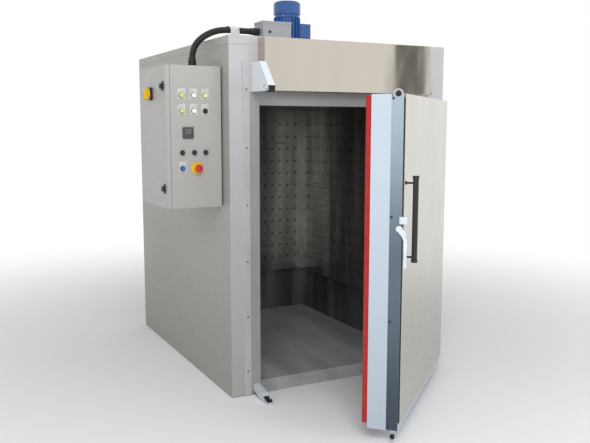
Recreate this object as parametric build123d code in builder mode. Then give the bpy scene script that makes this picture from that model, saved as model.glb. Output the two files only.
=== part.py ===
from build123d import *
import os
from math import cos, radians, sin

os.makedirs("parts", exist_ok=True)

# Industrial electric oven with one insulated door, a roof fan and a side control cabinet.
# Lengths are millimetres. X runs to the right, Y to the back and Z up.
# The origin is on the floor, under the middle of the body's base.

# Body, outside
body_width = 1500.0
body_depth = 1820.0
body_height = 2100.0
wall = 150.0
sheet = 2.0
lip = 20.0
post_face = 125.0
post_wrap = 233.0
roof_rim = 48.0
seam = 1.0
panel_foot = 4.0

# Base frame and floor
base_height = 46.0
base_flange = 45.0
base_web = 5.0
base_inset = 3.0
cross_beam = 40.0
cross_pitch = 560.0
floor_sheet = 4.0
ramp_length = 80.0
ramp_lip = 5.0

# Door opening and the front of the body
jamb_return = 36.0
opening_drop = 386.0
head_band = 78.0
jamb_depth = 100.0
jamb_sheet = 3.0
rail_width = 43.0
rail_thickness = 6.0
rail_drop = 147.0
fascia_margin = 7.0
fascia_depth = 95.0
fascia_drop = 10.0
fascia_round = 3.0

# Chamber
liner_sheet = 2.0
duct_depth = 40.0
rear_duct_depth = 60.0
duct_sheet = 1.5
duct_foot = 390.0
duct_start = 10.0
hole_diameter = 16.0
hole_pitch_along = 142.0
hole_pitch_up = 200.0
hole_margin = 60.0
baffle_sheet = 2.0

# Circulation fan and its motor on the roof
motor_y = -141.0
shaft_diameter = 24.0
shaft_way = 60.0
fan_diameter = 420.0
fan_height = 90.0
fan_plate = 3.0
fan_blades = 10
fan_inlet = 300.0
fan_gap = 14.0
stand_diameter = 186.0
stand_plate = 8.0
stand_height = 48.0
pillar_diameter = 18.0
flange_diameter = 190.0
flange_thickness = 12.0
motor_body = 160.0
motor_fins = 184.0
fin_count = 20
fin_thickness = 5.0
motor_top = 182.0
rotor_diameter = 88.0
rotor_length = 110.0
running_gap = 0.5
shaft_fit = 0.1
cowl_neck = 172.0
cowl_diameter = 185.0
cowl_sheet = 2.0
cowl_height = 108.0
cowl_round = 22.0
cowl_slot = 5.0
terminal_box_reach = 160.0
terminal_box_width = 100.0
terminal_box_height = 100.0

# Junction box, conduit and its fittings
box_x = -175.0
box_y = -280.0
box_width = 210.0
box_depth = 140.0
box_height = 173.0
box_sheet = 2.0
conduit_diameter = 39.0
gland_diameter = 50.0
gland_length = 62.0
box_gland_rise = 107.0
cabinet_gland_out = 102.0
cabinet_gland_back = 215.0
clip_width = 100.0
clip_sheet = 3.0

# Control cabinet on the left side
cabinet_width = 500.0
cabinet_height = 800.0
cabinet_depth = 300.0
cabinet_gap = 10.0
cabinet_setback = 100.0
cabinet_drop = 168.0
cabinet_sheet = 2.0
cabinet_rim = 15.0
door_tray = 23.0
door_seam = 2.0
cabinet_barrel = 5.0

# Controls: columns left to right and rows top to bottom
column_out = (245.0, 174.0, 106.0)
row_rise = (634.0, 548.0, 426.0, 315.0, 226.0)
bezel_diameter = 30.0
bezel_height = 3.0
lamp_diameter = 26.0
lamp_height = 10.0
legend_width = 44.0
legend_height = 60.0
legend_thickness = 1.5
legend_rise = 9.0
knob_diameter = 27.0
stem_diameter = 16.0
contact_block = 45.0
controller_size = 64.0
controller_out = 210.0
button_travel = 4.0
stop_out = 158.0
stop_disc = 70.0
stop_head = 46.0
stop_travel = 5.0
part_gap = 0.4

# Main switch and locks on the cabinet door
switch_back = 280.0
switch_rise = 649.0
switch_base = 72.0
switch_base_depth = 16.0
lock_back = 50.0
lock_rise = (111.0, 684.0)
lock_plate = (40.0, 56.0)

# Oven door, modelled shut and then swung open
door_overlap = 28.0
door_foot = 75.0
door_head_overlap = 37.0
door_thickness = 170.0
door_gap = 31.0
door_stands_open = 42.0
casing_depth = 160.0
skin_thickness = 3.0
skin_foot = 120.0
channel_start = 98.0
channel_depth = 35.0
hinge_out = 21.0
hinge_back = 40.0
hinge_rise = (175.0, 825.0)
hinge_drop = 241.0
barrel_diameter = 28.0
barrel_length = 50.0
hinge_pin = 14.0
hinge_fit = 0.3
leaf_thickness = 8.0
plug_proud = 12.0
gasket_width = 22.0
gasket_inset = 4.0
gasket_height = 30.0
gasket_foot = 94.0
rod_diameter = 12.0
rod_inset = 10.0
rod_back = 130.0
rod_travel = 25.0
tongue_radius = 25.0
tongue_reach = 26.0
tongue_root = 35.0
tongue_thickness = 4.0
roller_radius = 13.0
tip_diameter = 22.0
tip_foot = 30.0
lever_pivot_z = 1106.0
lever_length = 193.0
handle_foot = 940.0
handle_head = 1362.0
handle_diameter = 28.0
handle_inset = 28.0
handle_stand_off = 48.0

# Keepers on the left of the opening
keeper_width = 41.0
keeper_side_gap = 2.0
keeper_sheet = 2.5
keeper_reach = 229.0
keeper_dip = 3.0
keeper_height = 164.0
catch_dip = 8.0

# Places worked out from the sizes above
front = -body_depth / 2
rear = body_depth / 2
side = body_width / 2
rim_z = body_height - roof_rim
floor_top = base_height + floor_sheet
opening_width = body_width - 2 * (wall + jamb_return)
opening_top = body_height - opening_drop
rail_top = body_height - rail_drop
fascia_width = opening_width + 2 * fascia_margin
fascia_top = body_height - fascia_drop
frame_out = side - post_face
opening_half = opening_width / 2
band_top = opening_top + head_band
liner_half = side - wall
liner_front = front + jamb_depth
liner_rear = rear - wall
liner_top = body_height - wall
duct_face = liner_half - duct_depth
rear_duct_face = liner_rear - rear_duct_depth
baffle_top = opening_top + jamb_sheet + 3
door_width = opening_width + 2 * door_overlap
door_head = opening_top + door_head_overlap
door_half = door_width / 2
hinge_heights = (door_foot + hinge_rise[0], door_foot + hinge_rise[1], door_head - hinge_drop)
tongue_top = door_head + tongue_reach
tongue_foot = door_head - tongue_root
keeper_foot = band_top - keeper_dip
keeper_head = keeper_foot + keeper_height
door_inner = front - door_gap
door_outer = door_inner - door_thickness
hinge_x = door_half + hinge_out
hinge_y = door_outer + hinge_back
hinge_line = Axis((hinge_x, hinge_y, 0), (0, 0, 1))
free_edge = -door_half
rod_x = free_edge + rod_inset
rod_y = door_inner - rod_back
cabinet_right = -side - cabinet_gap
cabinet_left = cabinet_right - cabinet_depth
cabinet_front = front + cabinet_setback
cabinet_back = cabinet_front + cabinet_width
cabinet_head = body_height - cabinet_drop
cabinet_foot = cabinet_head - cabinet_height
cabinet_gland_x = -side - cabinet_gland_out
cabinet_gland_y = cabinet_front + cabinet_gland_back
column_x = tuple(-side - out for out in column_out)
row_z = tuple(cabinet_foot + rise for rise in row_rise)
controller_x = -side - controller_out
stop_x = -side - stop_out
switch_y = cabinet_front + switch_back
switch_z = cabinet_foot + switch_rise
lock_y = cabinet_front + lock_back
door_tray_face = cabinet_left - door_seam - door_tray
cabinet_hinge_x = cabinet_left - door_seam
cabinet_hinge_y = cabinet_back + cabinet_barrel + 3


ramp_gap = front + ramp_length + 8


def block(x, y, z, mode=Mode.ADD):
    """A rectangular block between a low and a high limit along each axis."""
    with Locations(((x[0] + x[1]) / 2, (y[0] + y[1]) / 2, (z[0] + z[1]) / 2)):
        Box(x[1] - x[0], y[1] - y[0], z[1] - z[0], mode=mode)


def rod(plane, radius, length, mode=Mode.ADD):
    """A round bar that starts on a plane and runs along its normal."""
    with BuildSketch(plane) as section:
        Circle(radius)
    extrude(section.sketch, amount=length, mode=mode)


def beside(points, distance):
    """The mitred outline at one distance to the left of an open outline."""
    outline = []
    for index, point in enumerate(points):
        here = Vector(*point)
        ways = []
        if index > 0:
            ways.append((here - Vector(*points[index - 1])).normalized())
        if index < len(points) - 1:
            ways.append((Vector(*points[index + 1]) - here).normalized())
        normals = [Vector(-way.Y, way.X) for way in ways]
        mitre = (normals[0] + normals[-1]).normalized()
        moved = here + mitre * (distance / mitre.dot(normals[0]))
        outline.append((moved.X, moved.Y))
    return outline


def folded(plane, points, thickness, length):
    """A folded sheet: its thickness lies to the left of an open outline, drawn out along the normal."""
    with BuildSketch(plane) as section:
        with BuildLine():
            Polyline(*points, *reversed(beside(points, thickness)), close=True)
        make_face()
    extrude(section.sketch, amount=length)


def profile(plane, points, length, mode=Mode.ADD):
    """A closed outline, drawn out along the plane's normal."""
    with BuildSketch(plane) as section:
        with BuildLine():
            Polyline(*points, close=True)
        make_face()
    extrude(section.sketch, amount=length, mode=mode)


def across(x):
    """The upright plane across X at a place, with Y to the right and Z up on it."""
    return Plane(origin=(x, 0, 0), x_dir=(0, 1, 0), z_dir=(1, 0, 0))


def facing_front(x, y, z):
    """A plane on a face that looks to the front, with X to the right and Z up on it."""
    return Plane(origin=(x, y, z), x_dir=(1, 0, 0), z_dir=(0, -1, 0))


def facing_left(x, y, z):
    """A plane on a face that looks to the left, with its normal along -X and Z up on it."""
    return Plane(origin=(x, y, z), x_dir=(0, -1, 0), z_dir=(-1, 0, 0))


def write(piece, label):
    """Label a finished piece and write it to its own file."""
    piece.part.label = label
    export_step(piece.part, f"parts/{label}.step")


def hang(piece, label):
    """Swing a door piece, modelled shut, to the angle at which the door stands open, and write it."""
    piece.part = piece.part.rotate(hinge_line, door_stands_open)
    write(piece, label)


# Base frame: a ring of channel, open to the inside, with cross beams and a gap for the ramp
with BuildPart() as base_frame:
    with BuildSketch():
        Rectangle(body_width - 2 * base_inset, body_depth - 2 * base_inset)
        Rectangle(body_width - 2 * (base_inset + base_flange), body_depth - 2 * (base_inset + base_flange),
                  mode=Mode.SUBTRACT)
        Rectangle(cross_beam, body_depth - 2 * base_inset)
        with GridLocations(0, cross_pitch, 1, 3):
            Rectangle(body_width - 2 * base_inset, cross_beam)
        with Locations((0, ramp_gap + cross_beam / 2)):
            Rectangle(body_width - 2 * base_inset, cross_beam)
    extrude(amount=base_height)
    with BuildSketch(Plane.XY.offset(base_web)):
        Rectangle(body_width - 2 * (base_inset + base_web), body_depth - 2 * (base_inset + base_web))
        Rectangle(body_width - 2 * (base_inset + base_flange), body_depth - 2 * (base_inset + base_flange),
                  mode=Mode.SUBTRACT)
    extrude(amount=base_height - 2 * base_web, mode=Mode.SUBTRACT)
    with BuildSketch(Plane.XY.offset(base_web)):
        Rectangle(cross_beam - 2 * base_web, body_depth - 2 * (base_inset + base_flange))
        with GridLocations(0, cross_pitch, 1, 3):
            Rectangle(body_width - 2 * (base_inset + base_flange), cross_beam - 2 * base_web)
        with Locations((0, ramp_gap + cross_beam / 2)):
            Rectangle(body_width - 2 * (base_inset + base_flange), cross_beam - 2 * base_web)
    extrude(amount=base_height - base_web, mode=Mode.SUBTRACT)
    block((-opening_half, opening_half), (front, ramp_gap), (0, base_height), Mode.SUBTRACT)
write(base_frame, "base_frame")

# Floor plate: a flat chamber floor whose front folds down as a short ramp for trolleys
with BuildPart() as floor_plate:
    ramp_line = (
        (front - ramp_lip, floor_sheet),
        (front + ramp_length, floor_top),
        (liner_rear, floor_top),
    )
    folded(across(-opening_half), ramp_line, -floor_sheet, opening_width)
    for low, high in ((-liner_half, -opening_half), (opening_half, liner_half)):
        block((low, high), (liner_front, liner_rear), (base_height, floor_top))
    under_front, under_fold, _ = beside(ramp_line, -floor_sheet)
    for x in (-opening_half / 2, 0, opening_half / 2):
        rib = (under_front, (under_fold[0], under_front[1]), under_fold)
        profile(across(x - base_web / 2), rib, base_web)
write(floor_plate, "floor_plate")

# Front panels: a folded corner post on each side, and the lintel between them
with BuildPart() as front_panels:
    post_line = (
        (-frame_out, front + lip),
        (-frame_out, front),
        (-side, front),
        (-side, front + post_wrap),
    )
    folded(Plane.XY.offset(panel_foot), post_line, -sheet, rim_z - seam - panel_foot)
    mirror(about=Plane.YZ)
    block((-frame_out, frame_out), (front, front + sheet), (band_top, rim_z - seam))
    block((-side + base_inset, side - base_inset), (front + base_inset, rear - base_inset), (0, base_height),
          Mode.SUBTRACT)
write(front_panels, "front_panels")

# Side panels: one long sheet a side, folded in at both ends
with BuildPart() as side_panels:
    panel_line = (
        (-side + lip, front + post_wrap + seam),
        (-side, front + post_wrap + seam),
        (-side, rear),
        (-side + lip, rear),
    )
    folded(Plane.XY.offset(panel_foot), panel_line, -sheet, rim_z - seam - panel_foot)
    mirror(about=Plane.YZ)
    block((-side + base_inset, side - base_inset), (front + base_inset, rear - base_inset), (0, base_height),
          Mode.SUBTRACT)
write(side_panels, "side_panels")

# Rear panel: three upright sheets with folded joints between them
with BuildPart() as rear_panel:
    block((-side + lip, side - lip), (rear - sheet, rear), (panel_foot, rim_z - seam))
    with GridLocations(body_width / 3, 0, 2, 1):
        with Locations((0, rear - sheet - lip / 2, (rim_z + panel_foot) / 2)):
            Box(2 * sheet, lip, rim_z - 2 * panel_foot)
    block((-side + base_inset, side - base_inset), (front + base_inset, rear - base_inset), (0, base_height),
          Mode.SUBTRACT)
write(rear_panel, "rear_panel")

# Roof panel: a shallow tray turned down over the top of the walls
with BuildPart() as roof_panel:
    block((-side, side), (front, rear), (rim_z, body_height))
    block((-side + sheet, side - sheet), (front + sheet, rear - sheet), (rim_z, body_height - sheet),
          Mode.SUBTRACT)
    rod(Plane(origin=(0, motor_y, rim_z)), shaft_way / 2, roof_rim, Mode.SUBTRACT)
write(roof_panel, "roof_panel")

# Door frame: two folded jambs and a folded head, with their back flanges on the liner
with BuildPart() as door_frame:
    jamb_line = (
        (-frame_out, front),
        (-opening_half, front),
        (-opening_half, liner_front),
        (-liner_half - liner_sheet, liner_front),
    )
    folded(Plane.XY.offset(panel_foot), jamb_line, jamb_sheet, band_top - panel_foot)
    mirror(about=Plane.YZ)
    head_line = (
        (front, band_top),
        (front, opening_top),
        (liner_front, opening_top),
        (liner_front, band_top),
    )
    folded(across(-opening_half), head_line, jamb_sheet, opening_width)
    block((-liner_half - liner_sheet, liner_half + liner_sheet), (liner_front - jamb_sheet, liner_front),
          (band_top, liner_top + liner_sheet))
    block((-side + base_inset, side - base_inset), (front + base_inset, rear - base_inset), (0, base_height),
          Mode.SUBTRACT)
write(door_frame, "door_frame")

# Fascia: a polished box-shaped cover, open at the back, proud of the front above the door
with BuildPart() as fascia:
    block((-fascia_width / 2, fascia_width / 2), (front - fascia_depth, front), (band_top, fascia_top))
    front_edges = fascia.edges().group_by(Axis.Y)[0]
    fillet(front_edges, radius=fascia_round)
    block((-fascia_width / 2 + sheet, fascia_width / 2 - sheet), (front - fascia_depth + sheet, front),
          (band_top + sheet, fascia_top - sheet), Mode.SUBTRACT)
write(fascia, "fascia")

# Frame rails: flat bars beside the frame that carry the keepers and the hinges
with BuildPart() as frame_rails:
    block((-frame_out - rail_width, -frame_out), (front - rail_thickness, front), (panel_foot, rail_top))
    rail_edges = frame_rails.edges().filter_by(Axis.Z).group_by(Axis.Y)[0]
    fillet(rail_edges, radius=rail_thickness / 3)
    mirror(about=Plane.YZ)

# Panel screws: button heads along the front edge of each side, at one pitch
screw_head = 12.0
screw_height = 3.0
screw_setback = 63.0
screw_pitch = 378.0
screw_foot = 396.0
screw_rows = 5
with BuildPart(mode=Mode.PRIVATE) as panel_screws:
    for row in range(screw_rows):
        screw_z = screw_foot + row * screw_pitch
        rod(facing_left(-side, front + screw_setback, screw_z), screw_head / 2, screw_height)
    screw_rims = panel_screws.edges().filter_by(GeomType.CIRCLE).group_by(Axis.X)[0]
    fillet(screw_rims, radius=screw_height / 3)
    mirror(about=Plane.YZ)
with frame_rails:
    add(panel_screws.part)
write(frame_rails, "frame_rails")

# Wall insulation: slabs of mineral wool between the outer sheets and the liner
wool_out = side - lip - seam
wool_in = liner_half + liner_sheet
with BuildPart() as wall_insulation:
    block((-wool_out, -wool_in), (liner_front, liner_rear), (floor_top, liner_top))
    block((wool_in, wool_out), (liner_front, liner_rear), (floor_top, liner_top))
    block((-wool_out, wool_out), (liner_rear + liner_sheet, rear - sheet - lip - seam), (floor_top, liner_top))
    block((-wool_out, wool_out), (liner_front, rear - sheet - lip - seam),
          (liner_top + liner_sheet, body_height - sheet - seam))
    for low, high in ((-wool_out, -opening_half - jamb_sheet), (opening_half + jamb_sheet, wool_out)):
        block((low, high), (front + lip + seam, liner_front - jamb_sheet), (floor_top, band_top))
    block((-wool_out, wool_out), (front + lip + seam, liner_front - jamb_sheet),
          (band_top, body_height - sheet - seam))
    rod(Plane(origin=(0, motor_y, liner_top)), shaft_way / 2 + 5, wall, Mode.SUBTRACT)
write(wall_insulation, "wall_insulation")

# Chamber liner: side, rear and ceiling sheets in stainless steel
with BuildPart() as chamber_liner:
    for low, high in ((-wool_in, -liner_half), (liner_half, wool_in)):
        block((low, high), (liner_front, liner_rear), (floor_top, liner_top))
    block((-wool_in, wool_in), (liner_rear, liner_rear + liner_sheet), (floor_top, liner_top))
    block((-wool_in, wool_in), (liner_front, liner_rear + liner_sheet), (liner_top, liner_top + liner_sheet))
    rod(Plane(origin=(0, motor_y, liner_top)), shaft_way / 2, liner_sheet, Mode.SUBTRACT)
write(chamber_liner, "chamber_liner")

# Side duct walls: perforated trays that blow across the load from both sides
duct_front = liner_front + duct_start
duct_run = rear_duct_face - duct_front
duct_top = baffle_top - baffle_sheet
hole_rows = int((duct_top - duct_foot - 2 * hole_margin) // hole_pitch_up) + 1
side_holes = int((duct_run - 2 * hole_margin) // hole_pitch_along) + 1
rear_holes = int((2 * duct_face - 2 * hole_margin) // hole_pitch_along) + 1
hole_middle_z = (duct_foot + duct_top) / 2
with BuildPart() as side_duct_walls:
    duct_line = (
        (-liner_half, duct_front),
        (-duct_face, duct_front),
        (-duct_face, rear_duct_face),
        (-liner_half, rear_duct_face),
    )
    folded(Plane.XY.offset(duct_foot), duct_line, duct_sheet, duct_top - duct_foot)
    block((-liner_half, -duct_face), (duct_front, rear_duct_face), (duct_foot, duct_foot + duct_sheet))
    with BuildSketch(facing_left(-duct_face, (duct_front + rear_duct_face) / 2, hole_middle_z)):
        with GridLocations(hole_pitch_along, hole_pitch_up, side_holes, hole_rows):
            Circle(hole_diameter / 2)
    extrude(amount=duct_sheet, mode=Mode.SUBTRACT)
    mirror(about=Plane.YZ)
write(side_duct_walls, "side_duct_walls")

# Rear duct wall: the same perforated tray across the back
with BuildPart() as rear_duct_wall:
    rear_line = (
        (-duct_face, liner_rear),
        (-duct_face, rear_duct_face),
        (duct_face, rear_duct_face),
        (duct_face, liner_rear),
    )
    folded(Plane.XY.offset(duct_foot), rear_line, duct_sheet, duct_top - duct_foot)
    block((-duct_face, duct_face), (rear_duct_face, liner_rear), (duct_foot, duct_foot + duct_sheet))
    with BuildSketch(facing_front(0, rear_duct_face + duct_sheet, hole_middle_z)):
        with GridLocations(hole_pitch_along, hole_pitch_up, rear_holes, hole_rows):
            Circle(hole_diameter / 2)
    extrude(amount=duct_sheet, mode=Mode.SUBTRACT)
write(rear_duct_wall, "rear_duct_wall")

# Ceiling baffle: closes the plenum, with a bell-mouthed inlet under the circulation fan
inlet_lip = 40.0
inlet_rise = 24.0
inlet_steps = 5
with BuildPart() as ceiling_baffle:
    block((-duct_face, duct_face), (liner_front, rear_duct_face), (baffle_top - baffle_sheet, baffle_top))
    rod(Plane(origin=(0, motor_y, baffle_top - baffle_sheet)), fan_inlet / 2 + inlet_lip - 1, baffle_sheet,
        Mode.SUBTRACT)
    bell = []
    for step in range(inlet_steps + 1):
        turn = radians(90 * step / inlet_steps)
        bell.append((fan_inlet / 2 + inlet_lip * (1 - sin(turn)), inlet_rise * (1 - cos(turn))))
    with BuildSketch(Plane(origin=(0, motor_y, baffle_top), x_dir=(1, 0, 0), z_dir=(0, -1, 0))):
        with BuildLine():
            Polyline(*bell, *reversed(beside(bell, baffle_sheet)), close=True)
        make_face()
    revolve(axis=Axis((0, motor_y, 0), (0, 0, 1)))
write(ceiling_baffle, "ceiling_baffle")

# Heating elements: hairpin tubes in two banks beside the fan, on hanging brackets
element_diameter = 8.5
element_leg = 520.0
element_spread = 60.0
element_rows = 3
element_pitch = 70.0
element_first = 290.0
element_foot = baffle_top + 60
bracket_sheet = 3.0
with BuildPart() as heating_elements:
    element_y = motor_y - element_leg / 2
    for row in range(element_rows):
        element_x = element_first + row * element_pitch
        with BuildLine() as hairpin:
            FilletPolyline(
                (element_x, element_y, element_foot),
                (element_x, element_y + element_leg, element_foot),
                (element_x, element_y + element_leg, element_foot + element_spread),
                (element_x, element_y, element_foot + element_spread),
                radius=element_spread / 2 - 1,
            )
        with BuildSketch(Plane(origin=(element_x, element_y, element_foot), z_dir=(0, 1, 0))):
            Circle(element_diameter / 2)
        sweep(path=hairpin.wires()[0])
    bank_end = element_first + (element_rows - 1) * element_pitch
    block((element_first - 30, bank_end + 30), (element_y - bracket_sheet, element_y),
          (element_foot - 25, liner_top))
    mirror(about=Plane.YZ)

# Temperature probe: a thin sheathed tube through the rear wall, in line with a perforation
probe_x = hole_pitch_along * ((rear_holes - 1) / 2 - 1)
probe_z = hole_middle_z + hole_pitch_up * ((hole_rows - 1) / 2 - 1)
probe_diameter = 6.0
probe_reach = 90.0
fitting_diameter = 20.0
fitting_length = 12.0
with heating_elements:
    probe_face = facing_front(probe_x, liner_rear, probe_z)
    rod(probe_face, probe_diameter / 2, rear_duct_depth + probe_reach)
    with BuildSketch(probe_face):
        RegularPolygon(fitting_diameter / 2, 6)
    extrude(amount=fitting_length)
write(heating_elements, "heating_elements")

# Roof and motor levels
stand_top = body_height + stand_height
housing_top = stand_top + motor_top
fan_top = liner_top - fan_gap - 30
motor_axis = Axis((0, motor_y, 0), (0, 0, 1))


def motor_plane(height):
    """The level plane at a height, with its origin on the motor's axis."""
    return Plane(origin=(0, motor_y, height))


# Motor stand: two round plates and four pillars that hold the motor off the hot roof
with BuildPart() as motor_stand:
    for level in (body_height, stand_top - stand_plate):
        with BuildSketch(motor_plane(level)):
            Circle(stand_diameter / 2)
            Circle(shaft_way / 2, mode=Mode.SUBTRACT)
        extrude(amount=stand_plate)
    with BuildSketch(motor_plane(body_height)):
        with GridLocations(stand_diameter - 74, stand_diameter - 74, 2, 2):
            Circle(pillar_diameter / 2)
    extrude(amount=stand_height)
write(motor_stand, "motor_stand")

# Motor housing: flange, ribbed barrel and end shields, hollow round the rotor
barrel_foot = stand_top + flange_thickness
rotor_foot = barrel_foot + 30
with BuildPart() as motor_housing:
    rod(motor_plane(stand_top), flange_diameter / 2, flange_thickness)
    rod(motor_plane(barrel_foot), motor_body / 2, housing_top - barrel_foot)
    with BuildSketch(motor_plane(barrel_foot + 18)):
        with PolarLocations((motor_body + motor_fins) / 4 - 3, fin_count):
            Rectangle((motor_fins - motor_body) / 2 + 6, fin_thickness)
    extrude(amount=housing_top - barrel_foot - 18)
    rod(motor_plane(stand_top), shaft_diameter / 2 + shaft_fit, housing_top - stand_top, Mode.SUBTRACT)
    rod(motor_plane(rotor_foot - 1), rotor_diameter / 2 + running_gap, rotor_length + 2, Mode.SUBTRACT)
    box_low = motor_y - terminal_box_width / 2
    box_foot = stand_top + 46
    with BuildSketch(across(motor_body / 2 - 4)):
        with Locations((motor_y, box_foot + terminal_box_height / 2)):
            RectangleRounded(terminal_box_width, terminal_box_height, 8)
    extrude(amount=terminal_box_reach - motor_body / 2 + 4)
    lid_edges = motor_housing.edges().group_by(Axis.X)[-1]
    fillet(lid_edges, radius=6)
write(motor_housing, "motor_housing")

# Fan cowl: a pressed cover with a round crown and ring-shaped air slots
cowl_foot = housing_top
cowl_step = 20.0
with BuildPart() as fan_cowl:
    with BuildSketch(Plane(origin=(0, motor_y, cowl_foot), x_dir=(1, 0, 0), z_dir=(0, -1, 0))):
        with BuildLine():
            Polyline((0, 0), (cowl_neck / 2, 0), (cowl_neck / 2, cowl_step - 4), (cowl_diameter / 2, cowl_step))
            Line((cowl_diameter / 2, cowl_step), (cowl_diameter / 2, cowl_height - cowl_round))
            crown = JernArc((cowl_diameter / 2, cowl_height - cowl_round), (0, 1), cowl_round, 90)
            Line(crown @ 1, (0, cowl_height))
            Line((0, cowl_height), (0, 0))
        make_face()
    revolve(axis=motor_axis)
    cowl_bottom = fan_cowl.faces().sort_by(Axis.Z)[0]
    offset(amount=-cowl_sheet, openings=cowl_bottom)
    with BuildSketch(motor_plane(cowl_foot + cowl_height - 2 * cowl_sheet)):
        for radius in (20, 32, 44, 56):
            Circle(radius + cowl_slot / 2)
            Circle(radius - cowl_slot / 2, mode=Mode.SUBTRACT)
        with PolarLocations(0, 3):
            Rectangle(2 * (56 + cowl_slot), 7, mode=Mode.SUBTRACT)
    extrude(amount=3 * cowl_sheet, mode=Mode.SUBTRACT)
write(fan_cowl, "fan_cowl")

# Motor shaft: one shaft from the impeller to the cooling fan, with the rotor and a heat slinger
cooling_foot = housing_top + cowl_step + 8
shaft_foot = fan_top - fan_height
with BuildPart() as motor_shaft:
    rod(motor_plane(shaft_foot), shaft_diameter / 2, cooling_foot + 34 - shaft_foot)
    rod(motor_plane(rotor_foot), rotor_diameter / 2, rotor_length)
    slinger_level = body_height + (stand_height - stand_plate) / 2
    rod(motor_plane(slinger_level), 62, 4)
    with BuildSketch(motor_plane(slinger_level + 4)):
        with PolarLocations(36, 8):
            Rectangle(46, 3)
    extrude(amount=8)

# Cooling fan: a hub with radial blades under the cowl
blade_reach = cowl_diameter / 2 - cowl_sheet - 12
with motor_shaft:
    with BuildSketch(motor_plane(cooling_foot)):
        Circle(26)
        with PolarLocations(blade_reach / 2 + 10, 7):
            Rectangle(blade_reach - 20, 3)
    extrude(amount=30)
    rod(motor_plane(cooling_foot), blade_reach - 6, 2.5)
write(motor_shaft, "motor_shaft")

# Circulation impeller: a back plate, a ring and blades that curve back from the direction of turning
hub_radius = 35.0
blade_thickness = 3.0
blade_root = fan_inlet / 2 - 10
fan_radius = fan_diameter / 2
with BuildPart() as impeller:
    rod(motor_plane(fan_top - fan_plate), fan_radius, fan_plate)
    rod(motor_plane(fan_top - fan_height), hub_radius, fan_height)
    with BuildSketch(motor_plane(fan_top - fan_height)):
        Circle(fan_radius)
        Circle(fan_inlet / 2 - 4, mode=Mode.SUBTRACT)
    extrude(amount=fan_plate)
    with BuildSketch(motor_plane(fan_top - fan_height)):
        for blade in range(fan_blades):
            turn = blade * 360 / fan_blades
            with BuildLine():
                foot = Vector(blade_root, 0).rotate(Axis.Z, turn)
                middle = Vector((blade_root + fan_radius) / 2, 0).rotate(Axis.Z, turn - 7)
                tip = Vector(fan_radius - 1, 0).rotate(Axis.Z, turn - 22)
                ThreePointArc(foot, middle, tip)
                offset(amount=blade_thickness / 2)
            make_face()
    extrude(amount=fan_height)
    rod(motor_plane(fan_top - fan_height), shaft_diameter / 2, fan_height, Mode.SUBTRACT)
write(impeller, "impeller")

# Junction box: a sheet box on the roof with a lid turned over its top
lid_rim = 14.0
box_left = box_x - box_width / 2
box_right = box_x + box_width / 2
box_near = box_y - box_depth / 2
box_far = box_y + box_depth / 2
box_top = body_height + box_height
gland_z = body_height + box_gland_rise
with BuildPart() as junction_box:
    inset = box_sheet + part_gap
    block((box_left + inset, box_right - inset), (box_near + inset, box_far - inset),
          (body_height, box_top - box_sheet))
    block((box_left + inset + box_sheet, box_right - inset - box_sheet),
          (box_near + inset + box_sheet, box_far - inset - box_sheet),
          (body_height + box_sheet, box_top - box_sheet), Mode.SUBTRACT)
    rod(facing_left(box_left + inset + box_sheet, box_y, gland_z), gland_diameter / 2 - 8, box_sheet,
        Mode.SUBTRACT)
    block((box_left, box_right), (box_near, box_far), (box_top - lid_rim, box_top))
    block((box_left + box_sheet, box_right - box_sheet), (box_near + box_sheet, box_far - box_sheet),
          (box_top - lid_rim, box_top - box_sheet), Mode.SUBTRACT)
    block((box_left + inset, box_right - inset), (box_near + inset, box_far - inset),
          (box_top - lid_rim, box_top - box_sheet))
    block((box_left + inset + box_sheet, box_right - inset - box_sheet),
          (box_near + inset + box_sheet, box_far - inset - box_sheet),
          (box_top - lid_rim, box_top - box_sheet), Mode.SUBTRACT)
write(junction_box, "junction_box")

# Conduit glands: a hexagon, a ribbed nut and a nose, on the cabinet's top and the box's side
box_wall = box_left + box_sheet + part_gap


def gland(plane):
    """One conduit gland standing on a plane, bored for the conduit."""
    with BuildSketch(plane) as hexagon:
        RegularPolygon(gland_diameter / 2, 6)
    extrude(hexagon.sketch, amount=12)
    rod(plane.offset(12), gland_diameter / 2 - 3, gland_length - 12)
    with BuildSketch(plane.offset(18)) as ribs:
        with PolarLocations(gland_diameter / 2 - 3, 16):
            Rectangle(3, 3)
    extrude(ribs.sketch, amount=26)
    rod(plane.offset(gland_length - 24), conduit_diameter / 2 + part_gap, 24, Mode.SUBTRACT)


with BuildPart() as conduit_glands:
    gland(Plane(origin=(cabinet_gland_x, cabinet_gland_y, cabinet_head)))
    gland(facing_left(box_wall, box_y, gland_z))
    rod(facing_front(box_left + 52, box_near + box_sheet + part_gap, body_height + 104), 9, 5)
write(conduit_glands, "conduit_glands")

# Conduit: up from the cabinet, over the roof's edge in a wide bend and along to the junction box
conduit_start = Vector(cabinet_gland_x, cabinet_gland_y)
conduit_turn = Vector(box_left - 120, box_y)
conduit_way = (conduit_turn - conduit_start).normalized()
conduit_rise = ((0.0, -56.0), (110.0, 28.0), (290.0, 88.0))
conduit_radii = (95.0, 300.0, 700.0, 90.0)
conduit_route = [(conduit_start.X, conduit_start.Y, cabinet_head + gland_length - 20)]
for distance, level in conduit_rise:
    place = conduit_start + conduit_way * distance
    conduit_route.append((place.X, place.Y, body_height + level))
conduit_route.append((conduit_turn.X, conduit_turn.Y, gland_z))
conduit_route.append((box_wall - gland_length + 20, box_y, gland_z))
with BuildPart() as conduit:
    with BuildLine() as conduit_line:
        FilletPolyline(*conduit_route, radius=conduit_radii)
    with BuildSketch(Plane(origin=conduit_route[0])):
        Circle(conduit_diameter / 2)
    sweep(path=conduit_line.wires()[0])
conduit_length = conduit_line.wires()[0].length
print("conduit length", round(conduit_length), "radii", conduit_radii)
write(conduit, "conduit")

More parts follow.
